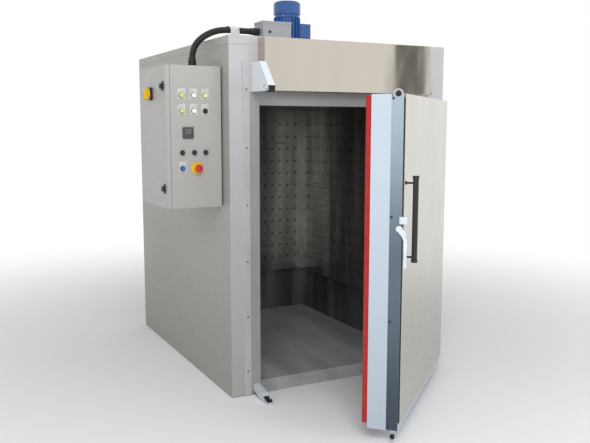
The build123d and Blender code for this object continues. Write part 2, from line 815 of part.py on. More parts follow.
# Conduit clip: an angle on the roof with a strap over the conduit
clip_point = conduit_line.wires()[0].position_at(0.735)
clip_way = conduit_line.wires()[0].tangent_at(0.735)
clip_plane = Plane(origin=(clip_point.X, clip_point.Y, body_height), x_dir=(clip_way.X, clip_way.Y, 0),
                   z_dir=(0, 0, 1))
clip_reach = conduit_diameter / 2 + 3
strap_rise = clip_point.Z - body_height
with BuildPart(clip_plane) as conduit_clip:
    with Locations((0, -clip_reach - clip_sheet / 2, strap_rise / 2)):
        Box(clip_width, clip_sheet, strap_rise)
    with Locations((0, -clip_reach - 15, clip_sheet / 2)):
        Box(clip_width, 30, clip_sheet)
    strap_plane = Plane(origin=clip_point - clip_way * (clip_width / 2), x_dir=clip_plane.y_dir, z_dir=clip_way)
    with BuildSketch(strap_plane):
        Circle(clip_reach + clip_sheet)
        Circle(clip_reach, mode=Mode.SUBTRACT)
        with Locations((0, -clip_reach - clip_sheet)):
            Rectangle(3 * clip_reach, 2 * (clip_reach + clip_sheet), mode=Mode.SUBTRACT)
    extrude(amount=clip_width)
write(conduit_clip, "conduit_clip")
print("clip at", round(clip_point.X), round(clip_point.Y), round(clip_point.Z))

# Control cabinet: a folded steel box, open to the left, with a rim all round the opening
cabinet_mid_y = (cabinet_front + cabinet_back) / 2
cabinet_mid_z = (cabinet_foot + cabinet_head) / 2
spacer_inset = 60.0
with BuildPart() as cabinet_box:
    block((cabinet_left, cabinet_right), (cabinet_front, cabinet_back), (cabinet_foot, cabinet_head))
    block((cabinet_left + cabinet_sheet, cabinet_right - cabinet_sheet),
          (cabinet_front + cabinet_sheet, cabinet_back - cabinet_sheet),
          (cabinet_foot + cabinet_sheet, cabinet_head - cabinet_sheet), Mode.SUBTRACT)
    block((cabinet_left, cabinet_left + cabinet_sheet), (cabinet_front + cabinet_rim, cabinet_back - cabinet_rim),
          (cabinet_foot + cabinet_rim, cabinet_head - cabinet_rim), Mode.SUBTRACT)
    with BuildSketch(facing_left(-side, cabinet_mid_y, cabinet_mid_z)):
        with GridLocations(cabinet_width - 2 * spacer_inset, cabinet_height - 2 * spacer_inset, 2, 2):
            Circle(10)
    extrude(amount=cabinet_gap)
    rod(Plane(origin=(cabinet_gland_x, cabinet_gland_y, cabinet_head - cabinet_sheet)),
        gland_diameter / 2 - 8, cabinet_sheet, Mode.SUBTRACT)
    with BuildSketch(facing_front(0, cabinet_front + cabinet_sheet, 0)):
        with Locations(*[(x, z) for x in column_x for z in row_z[:2]], *[(x, row_z[3]) for x in column_x],
                       (column_x[0], row_z[4]), (stop_x, row_z[4])):
            Circle(stem_diameter / 2 + part_gap)
        with Locations((controller_x, row_z[2])):
            Rectangle(controller_size - 4, controller_size - 4)
    extrude(amount=cabinet_sheet, mode=Mode.SUBTRACT)
write(cabinet_box, "cabinet_box")

# Cabinet hinges: two leaves with pins on the rear corner of the box
cabinet_hinge_rise = (110.0, 640.0)
half_barrel = 26.0
pin_radius = 2.5
with BuildPart() as cabinet_hinges:
    for rise in cabinet_hinge_rise:
        hinge_foot = cabinet_foot + rise
        block((cabinet_left, cabinet_left + 22), (cabinet_back, cabinet_back + 3),
              (hinge_foot, hinge_foot + half_barrel))
        block((cabinet_left, cabinet_left + 4), (cabinet_back, cabinet_hinge_y),
              (hinge_foot, hinge_foot + half_barrel))
        pin_plane = Plane(origin=(cabinet_hinge_x, cabinet_hinge_y, hinge_foot))
        rod(pin_plane, cabinet_barrel, half_barrel)
        rod(pin_plane, pin_radius, 2 * half_barrel + 1)
write(cabinet_hinges, "cabinet_hinges")

# Cabinet door: a folded tray with its half of the hinges
with BuildPart() as cabinet_door:
    block((door_tray_face, cabinet_hinge_x), (cabinet_front, cabinet_back), (cabinet_foot, cabinet_head))
    block((door_tray_face + cabinet_sheet, cabinet_hinge_x),
          (cabinet_front + cabinet_sheet, cabinet_back - cabinet_sheet),
          (cabinet_foot + cabinet_sheet, cabinet_head - cabinet_sheet), Mode.SUBTRACT)
    for rise in cabinet_hinge_rise:
        barrel_z = cabinet_foot + rise + half_barrel + 1
        block((cabinet_hinge_x - 20, cabinet_hinge_x - 2), (cabinet_back, cabinet_back + 3),
              (barrel_z, barrel_z + half_barrel))
        block((cabinet_hinge_x - 6, cabinet_hinge_x - 2), (cabinet_back, cabinet_hinge_y),
              (barrel_z, barrel_z + half_barrel))
        barrel_plane = Plane(origin=(cabinet_hinge_x, cabinet_hinge_y, barrel_z))
        rod(barrel_plane, cabinet_barrel, half_barrel)
        rod(barrel_plane, pin_radius + hinge_fit, half_barrel, Mode.SUBTRACT)
    for rise in lock_rise:
        rod(facing_left(door_tray_face + cabinet_sheet, lock_y, cabinet_foot + rise),
            stem_diameter / 2 + part_gap, cabinet_sheet, Mode.SUBTRACT)
    rod(facing_left(door_tray_face + cabinet_sheet, switch_y, switch_z), stem_diameter / 2 + part_gap,
        cabinet_sheet, Mode.SUBTRACT)
write(cabinet_door, "cabinet_door")

# Fittings on the cabinet door: an oval plate under each lock, and the main switch's square base
switch_face = door_tray_face - switch_base_depth
with BuildPart() as door_fittings:
    for rise in lock_rise:
        with BuildSketch(facing_left(door_tray_face, lock_y, cabinet_foot + rise)) as lock_face:
            SlotOverall(lock_plate[1], lock_plate[0], rotation=90)
            Circle(stem_diameter / 2 + part_gap, mode=Mode.SUBTRACT)
        extrude(lock_face.sketch, amount=5)
    with BuildSketch(facing_left(door_tray_face, switch_y, switch_z)) as switch_square:
        RectangleRounded(switch_base, switch_base, 5)
        Circle(stem_diameter / 2 + part_gap, mode=Mode.SUBTRACT)
    extrude(switch_square.sketch, amount=switch_base_depth)
write(door_fittings, "door_fittings")

# Cabinet locks: a winged knob, its spindle and a cam that turns behind the rim of the box
cam_plane_x = cabinet_left + cabinet_sheet + 1
cam_length = 44.0


def cabinet_lock(rise, label):
    """One quarter-turn lock, standing unlocked with its cam upright."""
    height = cabinet_foot + rise
    knob_face = facing_left(door_tray_face - 5 - part_gap, lock_y, height)
    with BuildPart() as lock:
        rod(knob_face, 15, 6)
        with BuildSketch(knob_face.offset(6)) as wing:
            SlotOverall(28, 9, rotation=90)
        extrude(wing.sketch, amount=10)
        rod(facing_left(cam_plane_x + 3, lock_y, height), stem_diameter / 2, cam_plane_x + 9 - door_tray_face)
        block((cam_plane_x, cam_plane_x + 3), (lock_y - 8, lock_y + 8), (height - 8, height + cam_length))
    write(lock, label)


cabinet_lock(lock_rise[1], "cabinet_lock_upper")
cabinet_lock(lock_rise[0], "cabinet_lock_lower")

# Main switch: a collar on its base and a turning handle
with BuildPart() as main_switch_collar:
    with BuildSketch(facing_left(switch_face, switch_y, switch_z)):
        Circle(33)
        Circle(25, mode=Mode.SUBTRACT)
    extrude(amount=4)
write(main_switch_collar, "main_switch_collar")
with BuildPart() as main_switch_handle:
    grip_face = facing_left(switch_face - part_gap, switch_y, switch_z)
    rod(grip_face, 24, 10)
    with BuildSketch(grip_face.offset(10)):
        SlotOverall(62, 17, rotation=90)
    extrude(amount=20)
    grip_edges = main_switch_handle.edges().group_by(Axis.X)[0]
    fillet(grip_edges, radius=3)
    rod(facing_left(door_tray_face + cabinet_sheet + 6, switch_y, switch_z), stem_diameter / 2,
        switch_base_depth + cabinet_sheet + 7)
    rod(facing_left(door_tray_face + cabinet_sheet + 6, switch_y, switch_z), stem_diameter / 2 + 3, 5)
write(main_switch_handle, "main_switch_handle")

# Controls on the front of the cabinet, from the top row down
cabinet_face = cabinet_front
plate_face = cabinet_face - legend_thickness
selector_places = {
    "selector_upper": (column_x[2], row_z[1]),
    "selector_left": (column_x[0], row_z[3]),
    "selector_middle": (column_x[1], row_z[3]),
    "selector_right": (column_x[2], row_z[3]),
}
lamp_places = [(x, row_z[0]) for x in column_x] + [(x, row_z[1]) for x in column_x[:2]]
plated = lamp_places + [selector_places["selector_upper"], (column_x[0], row_z[4])]
with BuildPart() as legend_plates:
    with BuildSketch(facing_front(0, cabinet_face, 0)):
        with Locations(*[(x, z + legend_rise) for x, z in plated]):
            RectangleRounded(legend_width, legend_height, 2)
        with Locations(*plated):
            Circle(stem_diameter / 2 + part_gap, mode=Mode.SUBTRACT)
    extrude(amount=legend_thickness)

# Pilot lamps: bezel, lens and the lamp body behind the sheet
with BuildPart() as pilot_lamps:
    for lamp_x, lamp_z in lamp_places:
        rod(facing_front(lamp_x, plate_face, lamp_z), bezel_diameter / 2, bezel_height)
        rod(facing_front(lamp_x, plate_face - bezel_height, lamp_z), lamp_diameter / 2, lamp_height)
    lens_edges = pilot_lamps.edges().filter_by(GeomType.CIRCLE).group_by(Axis.Y)[0]
    fillet(lens_edges, radius=4)
    for lamp_x, lamp_z in lamp_places:
        rod(facing_front(lamp_x, cabinet_face + cabinet_sheet + 36, lamp_z), stem_diameter / 2,
            36 + cabinet_sheet + legend_thickness)
        rod(facing_front(lamp_x, cabinet_face + cabinet_sheet + 36, lamp_z), bezel_diameter / 2, 36)
write(pilot_lamps, "pilot_lamps")

# Bezels and contact blocks that hold the turning and pressing controls
collar_radius = stem_diameter / 2 + 3
collar_height = 3.0
stop_collar = 17.0
button_ring = 8.0
pressed = {"blue_button": (column_x[0], row_z[4]), "estop_head": (stop_x, row_z[4])}
with legend_plates:
    for knob_x, knob_z in selector_places.values():
        base_face = plate_face if (knob_x, knob_z) in plated else cabinet_face
        with BuildSketch(facing_front(knob_x, base_face, knob_z)) as ring:
            Circle(bezel_diameter / 2)
            Circle(stem_diameter / 2 + part_gap, mode=Mode.SUBTRACT)
        extrude(ring.sketch, amount=bezel_height)
    with BuildSketch(facing_front(column_x[0], plate_face, row_z[4])) as ring:
        Circle(bezel_diameter / 2)
        Circle(lamp_diameter / 2 - 1 + part_gap, mode=Mode.SUBTRACT)
    extrude(ring.sketch, amount=button_ring)
write(legend_plates, "control_plates")
with BuildPart() as contact_blocks:
    held = list(selector_places.values()) + list(pressed.values())
    with BuildSketch(facing_front(0, cabinet_face + cabinet_sheet + contact_block, 0)):
        with Locations(*held):
            Rectangle(contact_block, contact_block)
    extrude(amount=contact_block)
    with BuildSketch(facing_front(0, cabinet_face + cabinet_sheet + 10, 0)):
        with Locations(*held):
            Circle(collar_radius + part_gap)
    extrude(amount=10, mode=Mode.SUBTRACT)


def control_stem(x, z, outer_face):
    """The stem of a control, from its head to the collar that holds it behind the sheet."""
    collar_face = cabinet_face + cabinet_sheet + part_gap + collar_height
    rod(facing_front(x, collar_face, z), collar_radius, collar_height)
    rod(facing_front(x, collar_face, z), stem_diameter / 2, collar_face - outer_face)


for selector, (knob_x, knob_z) in selector_places.items():
    base_face = plate_face if (knob_x, knob_z) in plated else cabinet_face
    knob_back = base_face - bezel_height - part_gap
    with BuildPart() as knob:
        rod(facing_front(knob_x, knob_back, knob_z), knob_diameter / 2, 8)
        with BuildSketch(facing_front(knob_x, knob_back - 8, knob_z)) as grip:
            SlotOverall(knob_diameter - 2, 9, rotation=90)
        extrude(grip.sketch, amount=9)
        control_stem(knob_x, knob_z, knob_back)
    write(knob, selector)

# Blue push button: a flat plunger in a tall ring
with BuildPart() as blue_button:
    button_back = plate_face - button_travel - part_gap
    rod(facing_front(column_x[0], button_back, row_z[4]), lamp_diameter / 2 - 1, 8)
    button_edges = blue_button.edges().filter_by(GeomType.CIRCLE).group_by(Axis.Y)[0]
    fillet(button_edges, radius=1.5)
    control_stem(column_x[0], row_z[4], button_back)
write(blue_button, "blue_button")

# Emergency stop: a round disc and collar, and a mushroom head that pushes in
with BuildPart() as estop_disc:
    with BuildSketch(facing_front(stop_x, cabinet_face, row_z[4])):
        Circle(stop_disc / 2)
        Circle(stem_diameter / 2 + part_gap, mode=Mode.SUBTRACT)
    extrude(amount=2)
    with BuildSketch(facing_front(stop_x, cabinet_face - 2, row_z[4])):
        Circle(17)
        Circle(stem_diameter / 2 + part_gap, mode=Mode.SUBTRACT)
    extrude(amount=stop_collar - 2)
write(estop_disc, "estop_disc")
with BuildPart() as estop_head:
    head_back = cabinet_face - stop_collar - stop_travel - 1
    with BuildSketch(Plane(origin=(stop_x, head_back, row_z[4]), x_dir=(1, 0, 0), z_dir=(0, 0, 1))):
        with BuildLine():
            Line((0, 0), (stop_head / 2 - 4, 0))
            Line((stop_head / 2 - 4, 0), (stop_head / 2, -6))
            Line((stop_head / 2, -6), (stop_head / 2, -12))
            TangentArc((stop_head / 2, -12), (stop_head / 2 - 9, -19), tangent=(0, -1))
            Line((stop_head / 2 - 9, -19), (0, -21))
            Line((0, -21), (0, 0))
        make_face()
    revolve(axis=Axis((stop_x, head_back, row_z[4]), (0, 1, 0)))
    control_stem(stop_x, row_z[4], head_back)
write(estop_head, "estop_head")

# Temperature controller: a square bezel with a display and a row of keys, and its body
with BuildPart() as temperature_controller:
    with BuildSketch(facing_front(controller_x, cabinet_face, row_z[2])):
        RectangleRounded(controller_size, controller_size, 4)
    extrude(amount=8)
    with BuildSketch(facing_front(controller_x, cabinet_face - 8, row_z[2])):
        with Locations((0, 8)):
            RectangleRounded(controller_size - 14, controller_size / 2 - 2, 2)
    extrude(amount=-2, mode=Mode.SUBTRACT)
    with BuildSketch(facing_front(controller_x, cabinet_face - 8, row_z[2])):
        with Locations((0, -20)):
            with GridLocations(12, 0, 4, 1):
                RectangleRounded(9, 7, 1.5)
    extrude(amount=1.2)
    block((controller_x - controller_size / 2 + 3, controller_x + controller_size / 2 - 3),
          (cabinet_face, cabinet_face + 92), (row_z[2] - controller_size / 2 + 3, row_z[2] + controller_size / 2 - 3))
write(temperature_controller, "temperature_controller")

# Inside the cabinet: a mounting plate with rails, breakers, contactors and terminals
plate_x = cabinet_right - 14
rail_levels = (1750.0, 1560.0, 1330.0)
with BuildPart() as mounting_plate:
    block((plate_x - 2, plate_x), (cabinet_front + 25, cabinet_back - 25), (cabinet_foot + 30, cabinet_head - 30))
    for level in rail_levels:
        block((plate_x - 9, plate_x - 2), (cabinet_front + 60, cabinet_back - 50), (level - 17, level + 17))
    with BuildSketch(facing_left(cabinet_right - cabinet_sheet, cabinet_mid_y, cabinet_mid_z)):
        with GridLocations(cabinet_width - 90, cabinet_height - 100, 2, 2):
            Circle(4)
    extrude(amount=cabinet_right - cabinet_sheet - plate_x)
write(mounting_plate, "mounting_plate")
rail_x = plate_x - 9
with contact_blocks:
    for index in range(3):
        start = cabinet_front + 90 + index * 60
        block((rail_x - 84, rail_x), (start, start + 46), (rail_levels[1] - 42, rail_levels[1] + 42))
        block((rail_x - 92, rail_x - 84), (start + 12, start + 34), (rail_levels[1] - 12, rail_levels[1] + 12))
    for index in range(6):
        start = cabinet_front + 90 + index * 19
        block((rail_x - 60, rail_x), (start, start + 17.6), (rail_levels[0] - 42, rail_levels[0] + 42))
        block((rail_x - 70, rail_x - 60), (start + 5, start + 12.6), (rail_levels[0] - 8, rail_levels[0] + 8))
    for index in range(14):
        start = cabinet_front + 90 + index * 22
        block((rail_x - 40, rail_x), (start, start + 20), (rail_levels[2] - 28, rail_levels[2] + 28))
    block((rail_x - 75, rail_x), (switch_y - 40, switch_y + 40), (switch_z - 45, switch_z + 45))
    rod(facing_left(rail_x - 75, switch_y, switch_z), 5, 120)
write(contact_blocks, "switchgear")

# Keepers: a wedge-shaped bracket on the front panel, and a sloping arm from the foot of the jamb
keeper_right = -fascia_width / 2 - keeper_side_gap
keeper_left = keeper_right - keeper_width
keeper_inside = (keeper_left + keeper_sheet, keeper_right - keeper_sheet)
keeper_clear = keeper_width - 2 * keeper_sheet
catch_foot = keeper_foot - catch_dip
catch_top = 1813.0
keeper_low = 2.0
with BuildPart() as keepers:
    wedge = (
        (front, keeper_foot),
        (front, keeper_head),
        (front - 111, keeper_head),
        (front - keeper_reach, catch_top + 4),
        (front - keeper_reach, keeper_foot),
    )
    profile(across(keeper_left), wedge, keeper_width)
    inner_wedge = (
        (front - keeper_sheet, keeper_foot),
        (front - keeper_sheet, keeper_head - keeper_sheet),
        (front - 110, keeper_head - keeper_sheet),
        (front - keeper_reach + keeper_sheet, catch_top + 3),
        (front - keeper_reach + keeper_sheet, keeper_foot),
    )
    profile(across(keeper_inside[0]), inner_wedge, keeper_clear, Mode.SUBTRACT)
    arm_line = (
        (front, 66),
        (front - 120, 46),
        (front - 140, 30),
        (front - 198, 12),
        (front - 198, keeper_low),
        (front - 130, keeper_low),
        (front, 30),
    )
    profile(across(keeper_left), arm_line, keeper_width)
    arm_inside = (
        (front - keeper_sheet, 66 - 2 * keeper_sheet),
        (front - 119, 46 - keeper_sheet - 1),
        (front - 134, 34 - keeper_sheet),
        (front - 134, 60),
        (front - 195, 60),
        (front - 195, keeper_low),
        (front - keeper_sheet, keeper_low),
    )
    profile(across(keeper_inside[0]), arm_inside, keeper_clear, Mode.SUBTRACT)
write(keepers, "keepers")

# Keeper catches: a lipped block in the upper bracket and a slotted block in the lower arm
catch_near = front - keeper_reach + keeper_sheet
catch_block = (front - 188, front - 134)
catch_height = (4.0, 26.0)
slot_size = (17.0, 34.0)
with BuildPart() as keeper_catches:
    catch_line = (
        (catch_near, catch_foot),
        (catch_near + 34, catch_foot),
        (catch_near + 34, catch_top - 6),
        (catch_near + 40, catch_top),
        (front - 77, catch_top),
        (front - 77, catch_top + 6),
        (catch_near + 9, catch_top + 6),
        (catch_near, catch_top - 3),
    )
    profile(across(keeper_inside[0]), catch_line, keeper_clear)
    block(keeper_inside, catch_block, catch_height)
    with Locations((rod_x - 1, rod_y, sum(catch_height) / 2)):
        Box(slot_size[0], slot_size[1], catch_height[1] - catch_height[0], mode=Mode.SUBTRACT)
    block((rod_x - 1, keeper_inside[1]), (rod_y - slot_size[1] / 2, rod_y + slot_size[1] / 2),
          catch_height, Mode.SUBTRACT)
write(keeper_catches, "keeper_catches")

# Hinges of the oven door: fixed brackets on the right rail, pins, and leaves on the door
bracket_sheet_x = (hinge_x + 9, hinge_x + 21)
with BuildPart() as hinge_brackets:
    for height in hinge_heights:
        block(bracket_sheet_x, (hinge_y, front - rail_thickness), (height, height + barrel_length))
        block(bracket_sheet_x, (hinge_y + barrel_diameter / 2 + 8, front - rail_thickness),
              (height + barrel_length, height + 2 * barrel_length))
        rod(Plane(origin=(hinge_x, hinge_y, height)), barrel_diameter / 2, barrel_length)
        block((frame_out + 1, hinge_x + 52), (front - rail_thickness - 8, front - rail_thickness),
              (height - 10, height + 2 * barrel_length + 10))
        rod(Plane(origin=(hinge_x, hinge_y, height)), hinge_pin / 2, 2 * barrel_length + 2)
        rod(Plane(origin=(hinge_x, hinge_y, height + 2 * barrel_length + 2)), hinge_pin / 2 + 3, 4)
write(hinge_brackets, "hinge_brackets")
leaf_x = hinge_x - barrel_diameter / 2 - 1
with BuildPart() as door_hinge_leaves:
    for height in hinge_heights:
        upper_foot = height + barrel_length + 1
        block((door_half, leaf_x), (door_inner - 150, door_inner - 40), (height - 10, height + 2 * barrel_length + 10))
        block((leaf_x, hinge_x - 6), (hinge_y - 9, hinge_y + 9), (upper_foot, upper_foot + barrel_length))
        rod(Plane(origin=(hinge_x, hinge_y, upper_foot)), barrel_diameter / 2, barrel_length)
        rod(Plane(origin=(hinge_x, hinge_y, upper_foot)), hinge_pin / 2 + hinge_fit, barrel_length, Mode.SUBTRACT)
hang(door_hinge_leaves, "door_hinge_leaves")

# Oven door, from the inside out. Depths are counted outward from the door's inner face.
casing_sheet = 2.0
channel_floor = free_edge + channel_depth
pan_in = casing_depth - casing_sheet
panel_sheet = 1.5


def at_depth(depth):
    """The place along Y of a depth in the shut door."""
    return door_inner - depth


def depths(low, high):
    """The limits along Y between two depths in the shut door."""
    return (door_inner - high, door_inner - low)


with BuildPart() as door_casing:
    block((-door_half, door_half), depths(0, casing_depth), (door_foot, door_head))
    block((-door_half + casing_sheet, door_half - casing_sheet), depths(0, pan_in),
          (door_foot + casing_sheet, door_head - casing_sheet), Mode.SUBTRACT)
    block((free_edge, channel_floor + casing_sheet), depths(channel_start - casing_sheet, pan_in),
          (door_foot, door_head))
    block((free_edge, channel_floor), depths(channel_start, pan_in), (door_foot, door_head), Mode.SUBTRACT)
hang(door_casing, "door_casing")

with BuildPart() as door_inner_panel:
    block((-door_half + casing_sheet, door_half - casing_sheet), depths(0, panel_sheet),
          (door_foot + casing_sheet, door_head - casing_sheet))
    plug_half = door_half - 52
    block((-plug_half, plug_half), depths(-plug_proud, 0), (door_foot + 52, door_head - 52))
    plug_edges = door_inner_panel.edges().group_by(Axis.Y)[-1]
    chamfer(plug_edges, length=plug_proud - 2, length2=plug_proud - 2)
    block((-plug_half + 14, plug_half - 14), depths(-plug_proud + panel_sheet, panel_sheet),
          (door_foot + 66, door_head - 66), Mode.SUBTRACT)
hang(door_inner_panel, "door_inner_panel")

with BuildPart() as door_insulation:
    block((-door_half + casing_sheet, door_half - casing_sheet), depths(panel_sheet, pan_in),
          (door_foot + casing_sheet, door_head - casing_sheet))
    block((free_edge, channel_floor + casing_sheet), depths(channel_start - casing_sheet, casing_depth),
          (door_foot, door_head), Mode.SUBTRACT)
hang(door_insulation, "door_insulation")

# Gasket: a silicone frame on the inner face of the door, and a strip under the door at its lower edge
gasket_half = door_half - gasket_inset
gasket_top = door_head - gasket_inset
gasket_middle = (gasket_top + gasket_foot) / 2
with BuildPart() as door_gasket:
    with BuildSketch(Plane(origin=(0, door_inner, gasket_middle), x_dir=(-1, 0, 0), z_dir=(0, 1, 0))):
        RectangleRounded(2 * gasket_half, gasket_top - gasket_foot, 12)
        Rectangle(2 * (gasket_half - gasket_width), gasket_top - gasket_foot - 2 * gasket_width, mode=Mode.SUBTRACT)
    extrude(amount=gasket_height)
    sealing_edges = door_gasket.edges().group_by(Axis.Y)[-1]
    fillet(sealing_edges, radius=8)
    block((-opening_half + 54, opening_half - 4), depths(4, 10), (56, door_foot))
hang(door_gasket, "door_gasket")

# Outer skin: a flat polished plate on an inset frame of stiffeners
stiffener_inset = 12.0
stiffener_width = 30.0
with BuildPart() as door_skin:
    block((-door_half, door_half), depths(door_thickness - skin_thickness, door_thickness), (skin_foot, door_head))
    skin_edges = door_skin.edges().group_by(Axis.Y)[0]
    fillet(skin_edges, radius=1.5)
    skin_middle = (skin_foot + door_head) / 2
    skin_height = door_head - skin_foot
    with BuildSketch(facing_front(0, at_depth(casing_depth), skin_middle)):
        Rectangle(door_width - 2 * stiffener_inset, skin_height - 2 * stiffener_inset)
        with GridLocations(0, (skin_height - 2 * stiffener_inset - stiffener_width) / 2 + 0, 1, 2):
            Rectangle(door_width - 2 * (stiffener_inset + stiffener_width),
                      (skin_height - 2 * stiffener_inset - 3 * stiffener_width) / 2, mode=Mode.SUBTRACT)
    extrude(amount=door_thickness - skin_thickness - casing_depth)
hang(door_skin, "door_skin")

# Lock channel cover on the door's free edge, with four screws
cover_depth = (channel_start, pan_in)
cover_span = (door_foot + 5, door_head - 14)
shaft_depth = 150.0
shaft_radius = 4.5
cover_screws = (1730.0, 1160.0, 639.0, 92.0)
with BuildPart() as lock_channel_cover:
    block((free_edge, free_edge + casing_sheet), depths(*cover_depth), cover_span)
    rod(facing_left(free_edge + casing_sheet, at_depth(shaft_depth), lever_pivot_z), shaft_radius + hinge_fit,
        casing_sheet, Mode.SUBTRACT)
    for screw_z in cover_screws:
        rod(facing_left(free_edge, at_depth(108), screw_z), 5, 2)
    for span in (cover_span[0], cover_span[1] - 22):
        block((free_edge + casing_sheet, free_edge + casing_sheet + 8), depths(channel_start, channel_start + 6),
              (span, span + 22))
hang(lock_channel_cover, "lock_channel_cover")

# Lock case and rod guides in the channel
rod_depth = rod_back
case_left = free_edge + casing_sheet + 0.5
with BuildPart() as lock_case:
    block((case_left, channel_floor), depths(112, pan_in), (lever_pivot_z - 56, lever_pivot_z + 60))
    for guide_foot in (door_head - 61, door_foot + 65):
        block((case_left, channel_floor), depths(118, 142), (guide_foot, guide_foot + 16))
    rod(Plane(origin=(rod_x, at_depth(rod_depth), door_foot)), rod_diameter / 2 + hinge_fit,
        door_head - door_foot, Mode.SUBTRACT)
    rod(facing_left(case_left + 20, at_depth(shaft_depth), lever_pivot_z), shaft_radius + hinge_fit, 20,
        Mode.SUBTRACT)

# Upper rod: rod, fork and the arched tongue that rises behind the catch
fork_left = rod_x + 1.5
fork_right = fork_left + 3
tongue_left = case_left
arch_z = tongue_top - tongue_radius
upper_start = lever_pivot_z + 26
roller_left = free_edge + 3
with BuildPart() as upper_rod:
    rod(Plane(origin=(rod_x, at_depth(rod_depth), upper_start)), rod_diameter / 2, tongue_foot + 16 - upper_start)
    with BuildSketch(facing_left(tongue_left + tongue_thickness, at_depth(rod_depth), arch_z)):
        Circle(tongue_radius)
        with Locations((0, (tongue_foot - arch_z) / 2)):
            Rectangle(2 * tongue_radius, arch_z - tongue_foot)
        Circle(roller_radius + 2.5, mode=Mode.SUBTRACT)
    extrude(amount=tongue_thickness)
    block((fork_left, fork_right), depths(rod_depth - 9, rod_depth + 9), (tongue_foot, arch_z + 9))
    rod(facing_left(fork_right, at_depth(rod_depth), arch_z), 4, 3, Mode.SUBTRACT)
with BuildPart(mode=Mode.PRIVATE) as upper_roller:
    rod(facing_left(fork_left, at_depth(rod_depth), arch_z), roller_radius, fork_left - roller_left)
    roller_rims = upper_roller.edges().filter_by(GeomType.CIRCLE)
    fillet(roller_rims, radius=1.5)
    rod(facing_left(fork_right, at_depth(rod_depth), arch_z), 4, 6)
with upper_rod:
    add(upper_roller.part)
hang(upper_rod, "upper_rod")

# Lower rod with its fork and nose roller
lower_roller_z = tip_foot + roller_radius
lower_end = lever_pivot_z - 26
with BuildPart() as lower_rod:
    rod(Plane(origin=(rod_x, at_depth(rod_depth), lower_roller_z + roller_radius + 4)), rod_diameter / 2,
        lower_end - lower_roller_z - roller_radius - 4)
    block((fork_left, fork_right), depths(rod_depth - 9, rod_depth + 9), (lower_roller_z - 7, lower_roller_z + 36))
    rod(facing_left(fork_right, at_depth(rod_depth), lower_roller_z), 4, 3, Mode.SUBTRACT)
with BuildPart(mode=Mode.PRIVATE) as lower_roller:
    rod(facing_left(fork_left, at_depth(rod_depth), lower_roller_z), roller_radius, fork_left - roller_left)
    roller_rims = lower_roller.edges().filter_by(GeomType.CIRCLE)
    fillet(roller_rims, radius=1.5)
    rod(facing_left(fork_right, at_depth(rod_depth), lower_roller_z), 4, 6)
with lower_rod:
    add(lower_roller.part)
hang(lower_rod, "lower_rod")

# Lock lever: a hub on a cross shaft and an arm that hangs down and swings out
lever_housing_depth = 8.0
lever_clearance = 1.5
lever_right = free_edge - lever_housing_depth - lever_clearance
lever_plate = 10.0
lever_reach = 182.0
hub_right = free_edge - 2
with BuildPart() as lock_lever:
    rod(facing_left(hub_right, at_depth(shaft_depth), lever_pivot_z), 15, hub_right - lever_right + lever_plate)
    with BuildSketch(facing_left(lever_right, at_depth(0), 0)) as arm:
        with BuildLine():
            Polyline(
                (shaft_depth - 6, lever_pivot_z - 12),
                (shaft_depth + 10, lever_pivot_z + 9),
                (lever_reach + 2, lever_pivot_z - 22),
                (lever_reach + 8, lever_pivot_z - 60),
                (lever_reach + 7, lever_pivot_z - lever_length + 6),
                (lever_reach + 1, lever_pivot_z - lever_length),
                (lever_reach - 6, lever_pivot_z - lever_length + 6),
                (lever_reach - 7, lever_pivot_z - 62),
                (lever_reach - 18, lever_pivot_z - 34),
                close=True,
            )
        make_face()
    extrude(arm.sketch, amount=lever_plate)
    rod(facing_left(case_left + 16, at_depth(shaft_depth), lever_pivot_z), shaft_radius,
        case_left + 16 - lever_right + 1)
hang(lock_lever, "lock_lever")

# Lever housing: a small cover above the hub, behind the arm's swing
with BuildPart(mode=Mode.PRIVATE) as lever_housing:
    block((free_edge - lever_housing_depth, free_edge), depths(148, 185), (lever_pivot_z + 22, lever_pivot_z + 58))
    housing_edges = lever_housing.edges().group_by(Axis.X)[0]
    fillet(housing_edges, radius=3)
with lock_case:
    add(lever_housing.part)
hang(lock_case, "lock_case")

# Pull handle: a round bar with end caps on two posts
handle_x = free_edge + handle_inset
handle_y = door_outer - handle_stand_off
handle_posts_z = (handle_foot + 25, handle_head - 35)
cap_height = 14.0
with BuildPart() as pull_handle:
    rod(Plane(origin=(handle_x, handle_y, handle_foot)), handle_diameter / 2, handle_head - handle_foot)
    for cap_foot in (handle_foot, handle_head - cap_height):
        rod(Plane(origin=(handle_x, handle_y, cap_foot)), handle_diameter / 2 + 2, cap_height)
    for post_z in handle_posts_z:
        rod(facing_front(handle_x, door_outer, post_z), 5, handle_stand_off)
        rod(facing_front(handle_x, door_outer, post_z), 9, 4)
hang(pull_handle, "pull_handle")

print("pieces written", len(os.listdir("parts")))
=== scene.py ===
"""Looks of an industrial electric oven: finishes, fine detail, light and camera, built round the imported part."""

from __future__ import annotations

import logging
import math
from abc import ABC, abstractmethod
from dataclasses import dataclass, field
from enum import Enum
from typing import Callable, Iterable, Sequence

import bmesh
import bpy
from mathutils import Matrix, Vector

